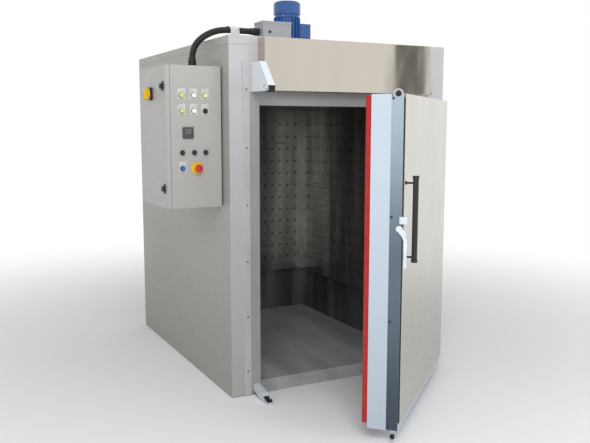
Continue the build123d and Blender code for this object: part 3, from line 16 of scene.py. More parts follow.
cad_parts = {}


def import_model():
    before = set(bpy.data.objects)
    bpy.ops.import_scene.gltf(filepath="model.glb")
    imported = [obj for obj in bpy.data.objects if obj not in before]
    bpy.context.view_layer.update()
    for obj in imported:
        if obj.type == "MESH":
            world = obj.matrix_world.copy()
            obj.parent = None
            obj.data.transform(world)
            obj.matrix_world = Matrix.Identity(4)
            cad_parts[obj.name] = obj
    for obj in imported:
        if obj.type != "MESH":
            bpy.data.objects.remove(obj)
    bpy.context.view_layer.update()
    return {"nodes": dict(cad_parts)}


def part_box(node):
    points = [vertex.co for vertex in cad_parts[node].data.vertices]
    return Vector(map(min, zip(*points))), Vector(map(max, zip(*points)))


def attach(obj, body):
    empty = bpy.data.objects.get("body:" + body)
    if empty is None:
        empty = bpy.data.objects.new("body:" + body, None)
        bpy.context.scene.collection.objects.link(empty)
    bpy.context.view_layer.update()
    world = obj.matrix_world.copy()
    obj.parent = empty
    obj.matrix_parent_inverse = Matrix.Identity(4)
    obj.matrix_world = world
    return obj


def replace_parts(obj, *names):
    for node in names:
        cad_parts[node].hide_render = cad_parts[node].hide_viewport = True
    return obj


LOG = logging.getLogger("oven")
ROOT = "oven_body"


class Axis(Enum):
    """The row frame's axes, by which a grain or a face is told."""

    X = 0
    Y = 1
    Z = 2


@dataclass(frozen=True)
class Tint:
    """A colour as it is read from a colour card, from 0 to 255 in each channel."""

    red: float
    green: float
    blue: float

    def linear(self, light: float = 1.0) -> tuple[float, float, float, float]:
        """The colour in Blender's linear values.

        Args:
            light: a factor on the three channels, above 1 for a lighter tone.

        Returns:
            Red, green, blue and an alpha of 1.
        """
        values = []
        for channel in (self.red, self.green, self.blue):
            share = channel / 255
            value = share / 12.92 if share <= 0.04045 else ((share + 0.055) / 1.055) ** 2.4
            values.append(min(1.0, value * light))
        return (*values, 1.0)


class Graph:
    """The nodes of one material, with short calls for what this object's finishes use."""

    def __init__(self, name: str) -> None:
        """Start a material with one Principled shader.

        Args:
            name: the material's name.
        """
        self.material = bpy.data.materials.new(name)
        self.material.use_nodes = True
        self.tree = self.material.node_tree
        self.tree.nodes.clear()
        self.shader = self.tree.nodes.new("ShaderNodeBsdfPrincipled")
        output = self.tree.nodes.new("ShaderNodeOutputMaterial")
        self.join(self.shader.outputs["BSDF"], output.inputs["Surface"])

    def join(self, source: bpy.types.NodeSocket, target: bpy.types.NodeSocket) -> None:
        """Link two sockets."""
        self.tree.links.new(source, target)

    def set(self, **values: object) -> None:
        """Set the shader's own sockets by name, with an underscore for a space.

        Args:
            values: the plain value of each named socket.
        """
        for name, value in values.items():
            self.shader.inputs[name.replace("_", " ")].default_value = value

    def place(self, stretch: Sequence[float] = (1, 1, 1)) -> bpy.types.NodeSocket:
        """The piece's own coordinates in metres, stretched along each axis.

        Args:
            stretch: the factor along X, Y and Z.

        Returns:
            The vector socket.
        """
        coords = self.tree.nodes.new("ShaderNodeTexCoord")
        mapping = self.tree.nodes.new("ShaderNodeMapping")
        mapping.inputs["Scale"].default_value = stretch
        self.join(coords.outputs["Object"], mapping.inputs["Vector"])
        return mapping.outputs["Vector"]

    def noise(self, scale: float, stretch: Sequence[float] = (1, 1, 1), detail: float = 3.0) -> bpy.types.NodeSocket:
        """Soft noise over the piece.

        Args:
            scale: patches per metre.
            stretch: the factor along each axis, high across a grain and low along it.
            detail: how many finer layers are added.

        Returns:
            The noise value's socket.
        """
        texture = self.tree.nodes.new("ShaderNodeTexNoise")
        texture.inputs["Scale"].default_value = scale
        texture.inputs["Detail"].default_value = detail
        self.join(self.place(stretch), texture.inputs["Vector"])
        return texture.outputs["Fac"]

    def spread(self, value: bpy.types.NodeSocket, low: float, high: float) -> bpy.types.NodeSocket:
        """Carry a noise value to a span of plain numbers.

        Args:
            value: the noise socket.
            low: the number at a noise of 0.3.
            high: the number at a noise of 0.7.

        Returns:
            The number's socket.
        """
        span = self.tree.nodes.new("ShaderNodeMapRange")
        span.inputs["From Min"].default_value = 0.3
        span.inputs["From Max"].default_value = 0.7
        span.inputs["To Min"].default_value = low
        span.inputs["To Max"].default_value = high
        self.join(value, span.inputs["Value"])
        return span.outputs["Result"]

    def height(self, axis: Axis, low: float, high: float) -> bpy.types.NodeSocket:
        """A value from 0 to 1 between two places along an axis.

        Args:
            axis: the axis.
            low: the place of 0, in metres.
            high: the place of 1, in metres.

        Returns:
            The value's socket.
        """
        parts = self.tree.nodes.new("ShaderNodeSeparateXYZ")
        self.join(self.place(), parts.inputs["Vector"])
        span = self.tree.nodes.new("ShaderNodeMapRange")
        span.inputs["From Min"].default_value = low
        span.inputs["From Max"].default_value = high
        span.interpolation_type = "SMOOTHSTEP"
        self.join(parts.outputs[axis.name], span.inputs["Value"])
        return span.outputs["Result"]

    def blend(self, share: bpy.types.NodeSocket, first: object, second: object) -> bpy.types.NodeSocket:
        """Mix two colours.

        Args:
            share: the socket that says how much of the second is shown.
            first: a colour or a colour socket.
            second: a colour or a colour socket.

        Returns:
            The mixed colour's socket.
        """
        mix = self.tree.nodes.new("ShaderNodeMix")
        mix.data_type = "RGBA"
        self.join(share, mix.inputs["Factor"])
        for name, value in (("A", first), ("B", second)):
            target = next(s for s in mix.inputs if s.name == name and s.type == "RGBA")
            if isinstance(value, bpy.types.NodeSocket):
                self.join(value, target)
            else:
                target.default_value = value
        return next(s for s in mix.outputs if s.type == "RGBA")

    def colour(self, socket: bpy.types.NodeSocket) -> None:
        """Join a colour to the shader."""
        self.join(socket, self.shader.inputs["Base Color"])

    def rough(self, socket: bpy.types.NodeSocket) -> None:
        """Join a roughness to the shader."""
        self.join(socket, self.shader.inputs["Roughness"])

    def bump(self, *layers: tuple[bpy.types.NodeSocket, float]) -> None:
        """Add bump layers, each on the one before.

        Args:
            layers: pairs of a height socket and its depth in metres.
        """
        normal = None
        for value, depth in layers:
            node = self.tree.nodes.new("ShaderNodeBump")
            node.inputs["Distance"].default_value = depth
            node.inputs["Strength"].default_value = 1.0
            self.join(value, node.inputs["Height"])
            if normal is not None:
                self.join(normal, node.inputs["Normal"])
            normal = node.outputs["Normal"]
        self.join(normal, self.shader.inputs["Normal"])


class Finish(ABC):
    """A finish that makes its material once and hands it out again."""

    name: str
    _made: dict[str, bpy.types.Material] = {}

    def material(self) -> bpy.types.Material:
        """The finish's material, made at the first call."""
        if self.name not in Finish._made:
            graph = Graph(self.name)
            self.fill(graph)
            Finish._made[self.name] = graph.material
        return Finish._made[self.name]

    @abstractmethod
    def fill(self, graph: Graph) -> None:
        """Fill the material's nodes."""


@dataclass(frozen=True)
class PaintedSheet(Finish):
    """Powder-coated sheet: a fine orange peel, faint random tone, dust patches, and painted shade that darkens it
    towards the floor.
    """

    name: str
    tint: Tint
    roughness: float = 0.42
    dust: float = 0.10
    peel: float = 0.000006
    # Painted shade: the tone at the floor, below 1 for darker low down.
    floor_shade_tone: float = 0.78

    def fill(self, graph: Graph) -> None:
        """Fill the material's nodes."""
        cloud = graph.noise(1.3, detail=4)
        toned = graph.blend(graph.spread(cloud, 0.0, 1.0), self.tint.linear(0.94), self.tint.linear(1.05))
        dusty = graph.blend(graph.spread(graph.noise(7, (1, 1, 0.25)), 0, self.dust), toned, self.tint.linear(0.78))
        # Painted shade: the colour darkens towards the floor, from the floor shade tone up to the full tint at 2 m.
        graph.colour(graph.blend(graph.height(Axis.Z, -0.3, 2.0), self.tint.linear(self.floor_shade_tone), dusty))
        graph.rough(graph.spread(graph.noise(30), self.roughness - 0.05, self.roughness + 0.07))
        graph.bump((graph.noise(2.2), 0.0006), (graph.noise(500, detail=1), self.peel))


@dataclass(frozen=True)
class BrushedSteel(Finish):
    """Steel with a fine grain along one axis."""

    name: str
    tint: Tint
    roughness: float = 0.32
    grain: Axis = Axis.Z
    wave: float = 0.0004
    scratch: float = 0.000004
    metal: float = 1.0

    def fill(self, graph: Graph) -> None:
        """Fill the material's nodes."""
        stretch = [1.0, 1.0, 1.0]
        stretch[self.grain.value] = 0.02
        lines = graph.noise(900, stretch, detail=2)
        clouds = graph.noise(3.0, detail=4)
        tone = graph.blend(graph.spread(clouds, 0, 1), self.tint.linear(0.88), self.tint.linear(1.06))
        graph.colour(graph.blend(graph.spread(lines, 0, 0.35), tone, self.tint.linear(0.72)))
        graph.rough(graph.spread(lines, self.roughness - 0.06, self.roughness + 0.08))
        graph.set(Metallic=self.metal)
        graph.bump((graph.noise(2.5), self.wave), (lines, self.scratch))


@dataclass(frozen=True)
class ReflectionGradedSteel(Finish):
    """Brushed steel, light and bluish at the top and dark towards the foot: a painted reflection and shade gradient.
    """

    name: str
    top: Tint
    middle: Tint
    foot: Tint
    roughness: float = 0.34

    def fill(self, graph: Graph) -> None:
        """Fill the material's nodes."""
        lines = graph.noise(900, (1, 1, 0.02), detail=2)
        # Painted reflection and shade: the colour runs from the foot tint through the middle tint to the top tint
        # with height.
        lower = graph.blend(graph.height(Axis.Z, 0.1, 0.9), self.foot.linear(), self.middle.linear())
        tone = graph.blend(graph.height(Axis.Z, 0.9, 1.75), lower, self.top.linear())
        graph.colour(graph.blend(graph.spread(lines, 0, 0.3), tone, self.middle.linear(0.7)))
        graph.rough(graph.spread(lines, self.roughness - 0.05, self.roughness + 0.08))
        graph.set(Metallic=0.85)
        graph.bump((graph.noise(2.5), 0.0004), (lines, 0.000004))


@dataclass(frozen=True)
class PolishedSteel(Finish):
    """Bright sheet that mirrors what is round it, a little wavy as thin polished sheet is, and darker towards the
    floor by a painted reflection and shade where the floor shade tone is below 1.
    """

    name: str
    tint: Tint
    roughness: float = 0.12
    wave: float = 0.003
    floor_shade_tone: float = 1.0
    streak: float = 0.03

    def fill(self, graph: Graph) -> None:
        """Fill the material's nodes."""
        clouds = graph.noise(3.0, (1, 1, 0.15), detail=3)
        tone = graph.blend(graph.spread(clouds, 0, 1), self.tint.linear(1 - self.streak),
                           self.tint.linear(1 + self.streak))
        # Painted reflection and shade: the tint darkens towards the floor by the floor shade tone.
        low = self.tint.linear(self.floor_shade_tone)
        graph.colour(graph.blend(graph.height(Axis.Z, 0.3, 2.0), low, tone))
        smear = graph.noise(14, (1, 1, 0.3), detail=5)
        graph.rough(graph.spread(smear, self.roughness - 0.03, self.roughness + 0.05))
        graph.set(Metallic=1.0)
        graph.bump((graph.noise(3.2, (1, 1, 0.35), detail=1), self.wave), (graph.noise(160, detail=2), 0.000002))


@dataclass(frozen=True)
class DuctSteel(Finish):
    """Polished sheet inside the chamber, dulled by heat, with long upright waves and smears."""

    name: str
    tint: Tint
    roughness: float = 0.15
    wave: float = 0.006

    def fill(self, graph: Graph) -> None:
        """Fill the material's nodes."""
        streaks = graph.noise(7.0, (1, 1, 0.1), detail=3)
        stains = graph.noise(3.0, (1, 1, 0.5), detail=5)
        tone = graph.blend(graph.spread(streaks, 0, 1), self.tint.linear(0.42), self.tint.linear(1.9))
        graph.colour(graph.blend(graph.spread(stains, 0, 0.5), tone, self.tint.linear(0.45)))
        graph.rough(graph.spread(stains, self.roughness - 0.03, self.roughness + 0.12))
        graph.set(Metallic=0.8)
        graph.bump((graph.noise(4.5, (1, 1, 0.12), detail=1), self.wave), (graph.noise(9, detail=1), 0.0005))


@dataclass(frozen=True)
class Plastic(Finish):
    """Moulded plastic with a fine texture and faint handling marks."""

    name: str
    tint: Tint
    roughness: float = 0.4
    texture: float = 0.00003
    shine: float = 0.0

    def fill(self, graph: Graph) -> None:
        """Fill the material's nodes."""
        cloud = graph.noise(25, detail=3)
        graph.colour(graph.blend(graph.spread(cloud, 0, 1), self.tint.linear(0.88), self.tint.linear(1.08)))
        graph.rough(graph.spread(graph.noise(90), self.roughness - 0.06, self.roughness + 0.08))
        graph.set(Coat_Weight=self.shine)
        graph.bump((graph.noise(1500, detail=1), self.texture))


@dataclass(frozen=True)
class Lens(Finish):
    """A coloured lamp lens with fine facets inside."""

    name: str
    tint: Tint

    def fill(self, graph: Graph) -> None:
        """Fill the material's nodes."""
        cell = graph.noise(260, detail=0)
        graph.colour(graph.blend(graph.spread(cell, 0, 1), self.tint.linear(0.85), self.tint.linear(1.1)))
        graph.rough(graph.spread(graph.noise(60), 0.12, 0.22))
        graph.set(Coat_Weight=0.5, IOR=1.49)
        graph.bump((cell, 0.0002))


@dataclass(frozen=True)
class Silicone(Finish):
    """Soft moulded silicone with a dull skin and dust in its pores."""

    name: str
    tint: Tint

    def fill(self, graph: Graph) -> None:
        """Fill the material's nodes."""
        patch = graph.noise(18, detail=4)
        graph.colour(graph.blend(graph.spread(patch, 0, 1), self.tint.linear(0.82), self.tint.linear(1.12)))
        graph.rough(graph.spread(graph.noise(70), 0.48, 0.62))
        graph.bump((graph.noise(40), 0.0006), (graph.noise(900), 0.00004))


@dataclass(frozen=True)
class MineralWool(Finish):
    """Pressed mineral wool: short fibres in layers."""

    name: str
    tint: Tint

    def fill(self, graph: Graph) -> None:
        """Fill the material's nodes."""
        fibres = graph.noise(220, (1, 1, 0.15), detail=6)
        graph.colour(graph.blend(graph.spread(fibres, 0, 1), self.tint.linear(0.6), self.tint.linear(1.15)))
        graph.rough(graph.spread(fibres, 0.85, 1.0))
        graph.bump((fibres, 0.0015))


@dataclass(frozen=True)
class CastMetal(Finish):
    """Cast and painted metal with a grainy skin under a gloss coat."""

    name: str
    tint: Tint
    roughness: float = 0.28
    metal: float = 0.0

    def fill(self, graph: Graph) -> None:
        """Fill the material's nodes."""
        cloud = graph.noise(12, detail=5)
        graph.colour(graph.blend(graph.spread(cloud, 0, 1), self.tint.linear(0.8), self.tint.linear(1.15)))
        graph.rough(graph.spread(graph.noise(45), self.roughness - 0.05, self.roughness + 0.12))
        graph.set(Metallic=self.metal, Coat_Weight=0.3)
        graph.bump((graph.noise(300, detail=3), 0.00012))


@dataclass(frozen=True)
class TreadFloor(Finish):
    """A steel floor sheet worn by trolley wheels: bright tracks, dull patches and dust."""

    name: str
    tint: Tint

    def fill(self, graph: Graph) -> None:
        """Fill the material's nodes."""
        wear = graph.noise(5, (1, 0.25, 1), detail=6)
        graph.colour(graph.blend(graph.spread(wear, 0, 1), self.tint.linear(0.7), self.tint.linear(1.12)))
        graph.rough(graph.spread(wear, 0.4, 0.62))
        graph.set(Metallic=0.3)
        graph.bump((graph.noise(60, (1, 0.2, 1), detail=4), 0.0001))


# Painted shade: the sides, rear and sideways faces get a darker, warmer copy of the front's paint, where the same
# sheet is in shade.
SHADED_BODY_GREY = PaintedSheet("body_paint", Tint(168, 165, 158))
FRONT_GREY = PaintedSheet("front_paint", Tint(188, 186, 187), roughness=0.36, dust=0.04)
CABINET_GREY = PaintedSheet("cabinet_paint", Tint(174, 172, 169), roughness=0.38, dust=0.04)
DOOR_WHITE = PaintedSheet("door_edge_paint", Tint(196, 208, 221), roughness=0.34, dust=0.03)
BASE_GREY = PaintedSheet("base_paint", Tint(92, 94, 98), roughness=0.5, dust=0.3)
BOX_GREY = PaintedSheet("box_paint", Tint(166, 167, 171), roughness=0.42)
CLIP_WHITE = PaintedSheet("clip_paint", Tint(226, 228, 226), roughness=0.4)
STAND_DARK = PaintedSheet("stand_paint", Tint(60, 62, 68), roughness=0.45)
# Polished stainless steel whose cream tint is a painted reflection of warm surroundings, put in its colour.
FASCIA_STEEL = PolishedSteel("fascia_steel", Tint(205, 199, 187), roughness=0.07, wave=0.0012)
# The door skin's lower part is darkened as a painted reflection of the floor and as painted shade.
SKIN_STEEL = PolishedSteel("skin_steel", Tint(212, 209, 200), roughness=0.26, wave=0.0016, floor_shade_tone=0.78)
CHAMBER_STEEL = DuctSteel("chamber_steel", Tint(150, 148, 144))
LINER_STEEL = DuctSteel("liner_steel", Tint(132, 131, 129), roughness=0.34)
FRAME_STEEL = BrushedSteel("frame_steel", Tint(172, 170, 171), roughness=0.42, metal=0.3)
HEAD_STEEL = BrushedSteel("rail_steel", Tint(196, 193, 194), roughness=0.4, metal=0.2)
# The lock channel cover's light bluish top and dark foot are painted reflection and shade.
CHANNEL_STEEL = ReflectionGradedSteel("channel_steel", Tint(188, 206, 220), Tint(108, 121, 132), Tint(74, 84, 96))
BRIGHT_STEEL = BrushedSteel("bright_steel", Tint(205, 206, 208), roughness=0.25)
KEEPER_STEEL = PaintedSheet("keeper_paint", Tint(222, 228, 234), roughness=0.3, dust=0.02)
DULL_STEEL = BrushedSteel("dull_steel", Tint(150, 150, 152), roughness=0.4)
ELEMENT_STEEL = BrushedSteel("element_steel", Tint(120, 106, 94), roughness=0.45, grain=Axis.Y)
ZINC = BrushedSteel("zinc_plate", Tint(190, 192, 188), roughness=0.4, grain=Axis.Y)
INNER_STEEL = PolishedSteel("inner_panel_steel", Tint(178, 177, 173), roughness=0.2, wave=0.003, streak=0.12)
FLOOR_STEEL = TreadFloor("floor_steel", Tint(196, 197, 200))
MOTOR_BLUE = CastMetal("motor_paint", Tint(36, 84, 150), roughness=0.2)
LOCK_DARK = CastMetal("lock_metal", Tint(84, 86, 88), roughness=0.3, metal=0.9)
LEVER_WHITE = CastMetal("lever_white", Tint(216, 226, 232))
BLACK_PLASTIC = Plastic("black_plastic", Tint(38, 38, 41), roughness=0.42)
GLOSS_BLACK = Plastic("gloss_black", Tint(22, 22, 25), roughness=0.22, shine=0.4)
CONDUIT_BLACK = Plastic("conduit_plastic", Tint(26, 26, 29), roughness=0.38, texture=0.00006)
HANDLE_BLACK = Plastic("handle_black", Tint(30, 29, 32), roughness=0.34)
NYLON_BLACK = Plastic("black_nylon", Tint(24, 24, 25), roughness=0.5)
DEVICE_GREY = Plastic("device_plastic", Tint(70, 73, 78), roughness=0.5)
DEVICE_PALE = Plastic("device_pale", Tint(205, 206, 200), roughness=0.45)
PLATE_PALE = Plastic("plate_grey", Tint(196, 197, 193), roughness=0.38)
CONTROLLER_GREY = Plastic("controller_grey", Tint(62, 66, 64), roughness=0.3, shine=0.3)
BEZEL_GREY = Plastic("bezel_grey", Tint(70, 71, 74), roughness=0.3)
YELLOW = Plastic("yellow_plastic", Tint(232, 190, 34), roughness=0.34, shine=0.3)
RED = Plastic("red_plastic", Tint(196, 32, 30), roughness=0.3, shine=0.4)
BLUE = Plastic("blue_plastic", Tint(46, 92, 178), roughness=0.32, shine=0.3)
GASKET_RED = Silicone("silicone", Tint(168, 30, 25))
WOOL = MineralWool("mineral_wool", Tint(214, 198, 140))
LENS_YELLOW = Lens("lens_yellow", Tint(208, 210, 122))
LENS_WHITE = Lens("lens_white", Tint(240, 240, 232))
LENS_PALE = Lens("lens_pale", Tint(226, 222, 170))


def dress(node: bpy.types.Object, finish: Finish) -> None:
    """Give a piece one finish.

    Args:
        node: the piece or the CAD node.
        finish: the finish it gets.
    """
    node.data.materials.clear()
    node.data.materials.append(finish.material())


def dress_part(node: bpy.types.Object, finish: Finish, chosen: Callable[[Vector, Vector], bool]) -> None:
    """Give some faces of a piece a second finish.

    Args:
        node: the piece or the CAD node.
        finish: the finish of the chosen faces.
        chosen: tells from a face's centre and normal, in the row frame at rest, if it is one of them.
    """
    node.data.materials.append(finish.material())
    index = len(node.data.materials) - 1
    for face in node.data.polygons:
        if chosen(face.center, face.normal):
            face.material_index = index


def new_piece(name: str, mesh: bmesh.types.BMesh, finish: Finish, smooth: float = 35.0) -> bpy.types.Object:
    """Turn a bmesh into a piece with a finish and smooth shading under an angle.

    Args:
        name: the piece's name.
        mesh: the built mesh, which is freed.
        finish: its finish.
        smooth: the angle in degrees under which an edge is shaded smooth.

    Returns:
        The new object, linked to the scene.
    """
    bmesh.ops.recalc_face_normals(mesh, faces=mesh.faces)
    for edge in mesh.edges:
        edge.smooth = len(edge.link_faces) == 2 and edge.calc_face_angle(math.pi) < math.radians(smooth)
    for face in mesh.faces:
        face.smooth = True
    data = bpy.data.meshes.new(name)
    mesh.to_mesh(data)
    mesh.free()
    piece = bpy.data.objects.new(name, data)
    bpy.context.scene.collection.objects.link(piece)
    dress(piece, finish)
    return piece


def turned(mesh: bmesh.types.BMesh, outline: Sequence[tuple[float, float]], place: Matrix, sides: int) -> None:
    """Add a turned form to a bmesh.

    Args:
        mesh: the bmesh that takes it.
        outline: pairs of radius and height, from the foot to the top.
        place: where its foot's centre stands, with Z as its axis.
        sides: how many sides go round.
    """
    rings = []
    for radius, height in outline:
        ring = []
        for side in range(sides):
            turn = 2 * math.pi * side / sides
            ring.append(mesh.verts.new(place @ Vector((radius * math.cos(turn), radius * math.sin(turn), height))))
        rings.append(ring)
    for low, high in zip(rings, rings[1:]):
        for side in range(sides):
            after = (side + 1) % sides
            mesh.faces.new((low[side], low[after], high[after], high[side]))
    mesh.faces.new(list(reversed(rings[0])))
    mesh.faces.new(rings[-1])


def standing(point: Sequence[float], normal: Sequence[float]) -> Matrix:
    """The placement of a form that stands on a face.

    Args:
        point: where its foot's centre is.
        normal: the way its axis points.

    Returns:
        The matrix.
    """
    return Matrix.Translation(Vector(point)) @ Vector(normal).to_track_quat("Z", "Y").to_matrix().to_4x4()


@dataclass
class ScrewHeads:
    """Rows of screw heads of one kind."""

    radius: float = 0.006
    rise: float = 0.003
    sides: int = 6

    def build(self, name: str, spots: Iterable[tuple[Sequence[float], Sequence[float]]], body: str,
              finish: Finish) -> bpy.types.Object:
        """Build the heads as one piece.

        Args:
            name: the piece's name.
            spots: pairs of a point on a face and that face's normal.
            body: the body that they ride on.
            finish: their finish.

        Returns:
            The piece.
        """
        mesh = bmesh.new()
        edge = self.radius * 0.86
        for point, normal in spots:
            outline = ((self.radius, -0.0002), (self.radius, self.rise * 0.75), (edge, self.rise))
            turned(mesh, outline, standing(point, normal), self.sides)
        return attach(new_piece(name, mesh, finish), body)


@dataclass
class CameraStand:
    """The camera at the photograph's place, in metres and degrees."""

    place: tuple[float, float, float] = (-2.338, -4.795, 1.6065)
    yaw: float = 27.2984
    down: float = 7.5206
    roll: float = 0.0641
    lens: float = 44.93
    sensor: float = 36.0

    def build(self) -> bpy.types.Object:
        """Make the camera and use it."""
        data = bpy.data.cameras.new("camera")
        data.lens = self.lens
        data.sensor_width = self.sensor
        data.clip_end = 60
        camera = bpy.data.objects.new("camera", data)
        bpy.context.scene.collection.objects.link(camera)
        turn = Matrix.Rotation(math.radians(-self.yaw), 4, "Z")
        tilt = Matrix.Rotation(math.radians(90 - self.down), 4, "X")
        lean = Matrix.Rotation(math.radians(self.roll), 4, "Z")
        camera.matrix_world = Matrix.Translation(self.place) @ turn @ tilt @ lean
        bpy.context.scene.camera = camera
        return camera


@dataclass
class Studio:
    """A pale floor, a white surround and soft lamps."""

    floor_size: float = 40.0
    ambient: float = 0.62
    key_power: float = 170.0
    fill_power: float = 45.0

    def build(self) -> None:
        """Make the floor, the surround, the lamps and the dark card that the polished sheet mirrors."""
        mesh = bmesh.new()
        bmesh.ops.create_grid(mesh, x_segments=1, y_segments=1, size=self.floor_size / 2)
        floor = new_piece("studio_floor", mesh, StudioFloor("studio_floor"))
        self.surround()
        self.lamp("key", (-2.3, -5.6, 4.3), (0.0, -0.6, 1.0), 2.6, self.key_power)
        self.lamp("fill", (2.8, -5.5, 2.6), (0.2, -0.8, 1.1), 2.2, self.fill_power)
        self.card("mirror_card", (3.237, -4.9, 2.15), (3.237, 0.0, 2.15), (0.43, 1.7))

    def surround(self) -> None:
        """Make the world: even light, and plain white to the camera and in mirrors."""
        world = bpy.data.worlds.new("surround")
        bpy.context.scene.world = world
        world.use_nodes = True
        tree = world.node_tree
        tree.nodes.clear()
        light = tree.nodes.new("ShaderNodeBackground")
        light.inputs["Color"].default_value = (0.97, 0.985, 1.0, 1)
        light.inputs["Strength"].default_value = self.ambient
        seen = tree.nodes.new("ShaderNodeBackground")
        seen.inputs["Color"].default_value = (1, 1, 1, 1)
        seen.inputs["Strength"].default_value = 1.0
        path = tree.nodes.new("ShaderNodeLightPath")
        either = tree.nodes.new("ShaderNodeMath")
        either.operation = "MAXIMUM"
        glossy = tree.nodes.new("ShaderNodeMath")
        glossy.operation = "MAXIMUM"
        tree.links.new(path.outputs["Is Camera Ray"], glossy.inputs[0])
        tree.links.new(path.outputs["Is Glossy Ray"], glossy.inputs[1])
        tree.links.new(glossy.outputs[0], either.inputs[0])
        tree.links.new(path.outputs["Is Transmission Ray"], either.inputs[1])
        mix = tree.nodes.new("ShaderNodeMixShader")
        output = tree.nodes.new("ShaderNodeOutputWorld")
        tree.links.new(either.outputs[0], mix.inputs["Fac"])
        tree.links.new(light.outputs[0], mix.inputs[1])
        tree.links.new(seen.outputs[0], mix.inputs[2])
        tree.links.new(mix.outputs[0], output.inputs["Surface"])

    def lamp(self, name: str, place: Sequence[float], aim: Sequence[float], size: float, power: float) -> None:
        """Add one soft lamp.

        Args:
            name: the lamp's name.
            place: where it hangs.
            aim: the point that it looks at.
            size: its side, in metres.
            power: its power, in watts.
        """
        data = bpy.data.lights.new(name, "AREA")
        data.size = size
        data.energy = power
        lamp = bpy.data.objects.new(name, data)
        lamp.location = place
        lamp.visible_glossy = False
        lamp.rotation_euler = (Vector(aim) - Vector(place)).to_track_quat("-Z", "Y").to_euler()
        bpy.context.scene.collection.objects.link(lamp)

    def card(self, name: str, place: Sequence[float], aim: Sequence[float], size: tuple[float, float]) -> None:
        """Stand a dark card beside the camera, for the polished sheet to mirror.

        Args:
            name: the card's name.
            place: its centre.
            aim: the point that it faces.
            size: its width and height.
        """
        mesh = bmesh.new()
        bmesh.ops.create_grid(mesh, x_segments=1, y_segments=1, size=0.5)
        bmesh.ops.scale(mesh, vec=(size[0], size[1], 1), verts=mesh.verts)
        card = new_piece(name, mesh, Plastic("card_grey", Tint(142, 142, 138), roughness=0.9))
        card.matrix_world = Matrix.Translation(Vector(place)) @ (
            Vector(aim) - Vector(place)).to_track_quat("Z", "Y").to_matrix().to_4x4()
        card.visible_camera = False
        card.visible_diffuse = False


@dataclass(frozen=True)
class StudioFloor(Finish):
    """A pale floor that fades to white away from the object but keeps its shadow."""

    name: str
    near: float = 0.19

    def fill(self, graph: Graph) -> None:
        """Fill the material's nodes."""
        graph.set(Base_Color=(0.86, 0.86, 0.86, 1), Roughness=0.9)
        tree = graph.tree
        ball = tree.nodes.new("ShaderNodeTexGradient")
        ball.gradient_type = "SPHERICAL"
        graph.join(graph.place((self.near, self.near, 1.0)), ball.inputs["Vector"])
        span = tree.nodes.new("ShaderNodeMapRange")
        span.interpolation_type = "SMOOTHSTEP"
        span.inputs["From Max"].default_value = 0.75
        graph.join(ball.outputs["Fac"], span.inputs["Value"])
        white = tree.nodes.new("ShaderNodeEmission")
        white.inputs["Color"].default_value = (1, 1, 1, 1)
        mix = tree.nodes.new("ShaderNodeMixShader")
        graph.join(span.outputs["Result"], mix.inputs["Fac"])
        graph.join(white.outputs["Emission"], mix.inputs[1])
        graph.join(graph.shader.outputs["BSDF"], mix.inputs[2])
        output = next(node for node in tree.nodes if node.type == "OUTPUT_MATERIAL")
        graph.join(mix.outputs["Shader"], output.inputs["Surface"])


@dataclass
class OvenShell:
    """The painted body, its stainless front and the parts fixed to them."""

    nodes: dict[str, bpy.types.Object]
    finishes: dict[str, Finish] = field(default_factory=lambda: {
        "base_frame": BASE_GREY,
        "floor_plate": FLOOR_STEEL,
        "front_panels": FRONT_GREY,
        "side_panels": SHADED_BODY_GREY,
        "rear_panel": SHADED_BODY_GREY,
        "roof_panel": FRONT_GREY,
        "door_frame": FRAME_STEEL,
        "fascia": FASCIA_STEEL,
        "frame_rails": HEAD_STEEL,
        "wall_insulation": WOOL,
        "keepers": KEEPER_STEEL,
        "keeper_catches": NYLON_BLACK,
        "hinge_brackets": DULL_STEEL,
    })
    post_side_normal: float = 0.5
    catch_level: float = 1.7
    screw_rows: int = 6

    def build(self) -> list[bpy.types.Object]:
        """Dress the shell and add its screws."""
        for node, finish in self.finishes.items():
            dress(self.nodes[node], finish)
        # Sideways faces of the front posts and the roof rim get the darker copy of the paint: painted shade.
        dress_part(self.nodes["front_panels"], SHADED_BODY_GREY, lambda spot, way: abs(way.x) > self.post_side_normal)
        dress_part(self.nodes["roof_panel"], SHADED_BODY_GREY, lambda spot, way: abs(way.x) > self.post_side_normal)
        keeper_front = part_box("keepers")[0].y
        dress_part(self.nodes["keepers"], NYLON_BLACK,
                   lambda spot, way: spot.y < keeper_front + 0.002 and way.y < -0.9 and spot.z > self.catch_level)
        return [self.rail_screws(), self.bracket_bolts(), self.keeper_bolts()]

    def rail_screws(self) -> bpy.types.Object:
        """Screws down both flat rails."""
        low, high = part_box("frame_rails")
        rail_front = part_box("front_panels")[0].y - 0.006
        spots = []
        for side in (-1, 1):
            for row in range(self.screw_rows):
                height = 0.15 + row * (high.z - 0.3) / (self.screw_rows - 1)
                spots.append(((side * 0.6465, rail_front, height), (0, -1, 0)))
        return ScrewHeads(0.006, 0.003, 12).build("rail_screws", spots, ROOT, DULL_STEEL)

    def bracket_bolts(self) -> bpy.types.Object:
        """Two bolts in the foot plate of each hinge bracket."""
        rail_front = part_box("front_panels")[0].y - 0.014
        spots = []
        for foot in (0.250, 0.900, 1.510):
            for rise in (0.004, 0.030, 0.070, 0.096):
                spots.append(((0.651, rail_front, foot + rise), (0, -1, 0)))
        return ScrewHeads(0.006, 0.005).build("bracket_bolts", spots, ROOT, DULL_STEEL)

    def keeper_bolts(self) -> bpy.types.Object:
        """Bolts through the side of the keepers, into the catches."""
        low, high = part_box("keepers")
        spots = [
            ((low.x, low.y + 0.018, 1.797), (-1, 0, 0)),
            ((low.x, low.y + 0.052, 1.816), (-1, 0, 0)),
            ((low.x, low.y + 0.068, 0.016), (-1, 0, 0)),
        ]
        return ScrewHeads(0.005, 0.003).build("keeper_bolts", spots, ROOT, DULL_STEEL)


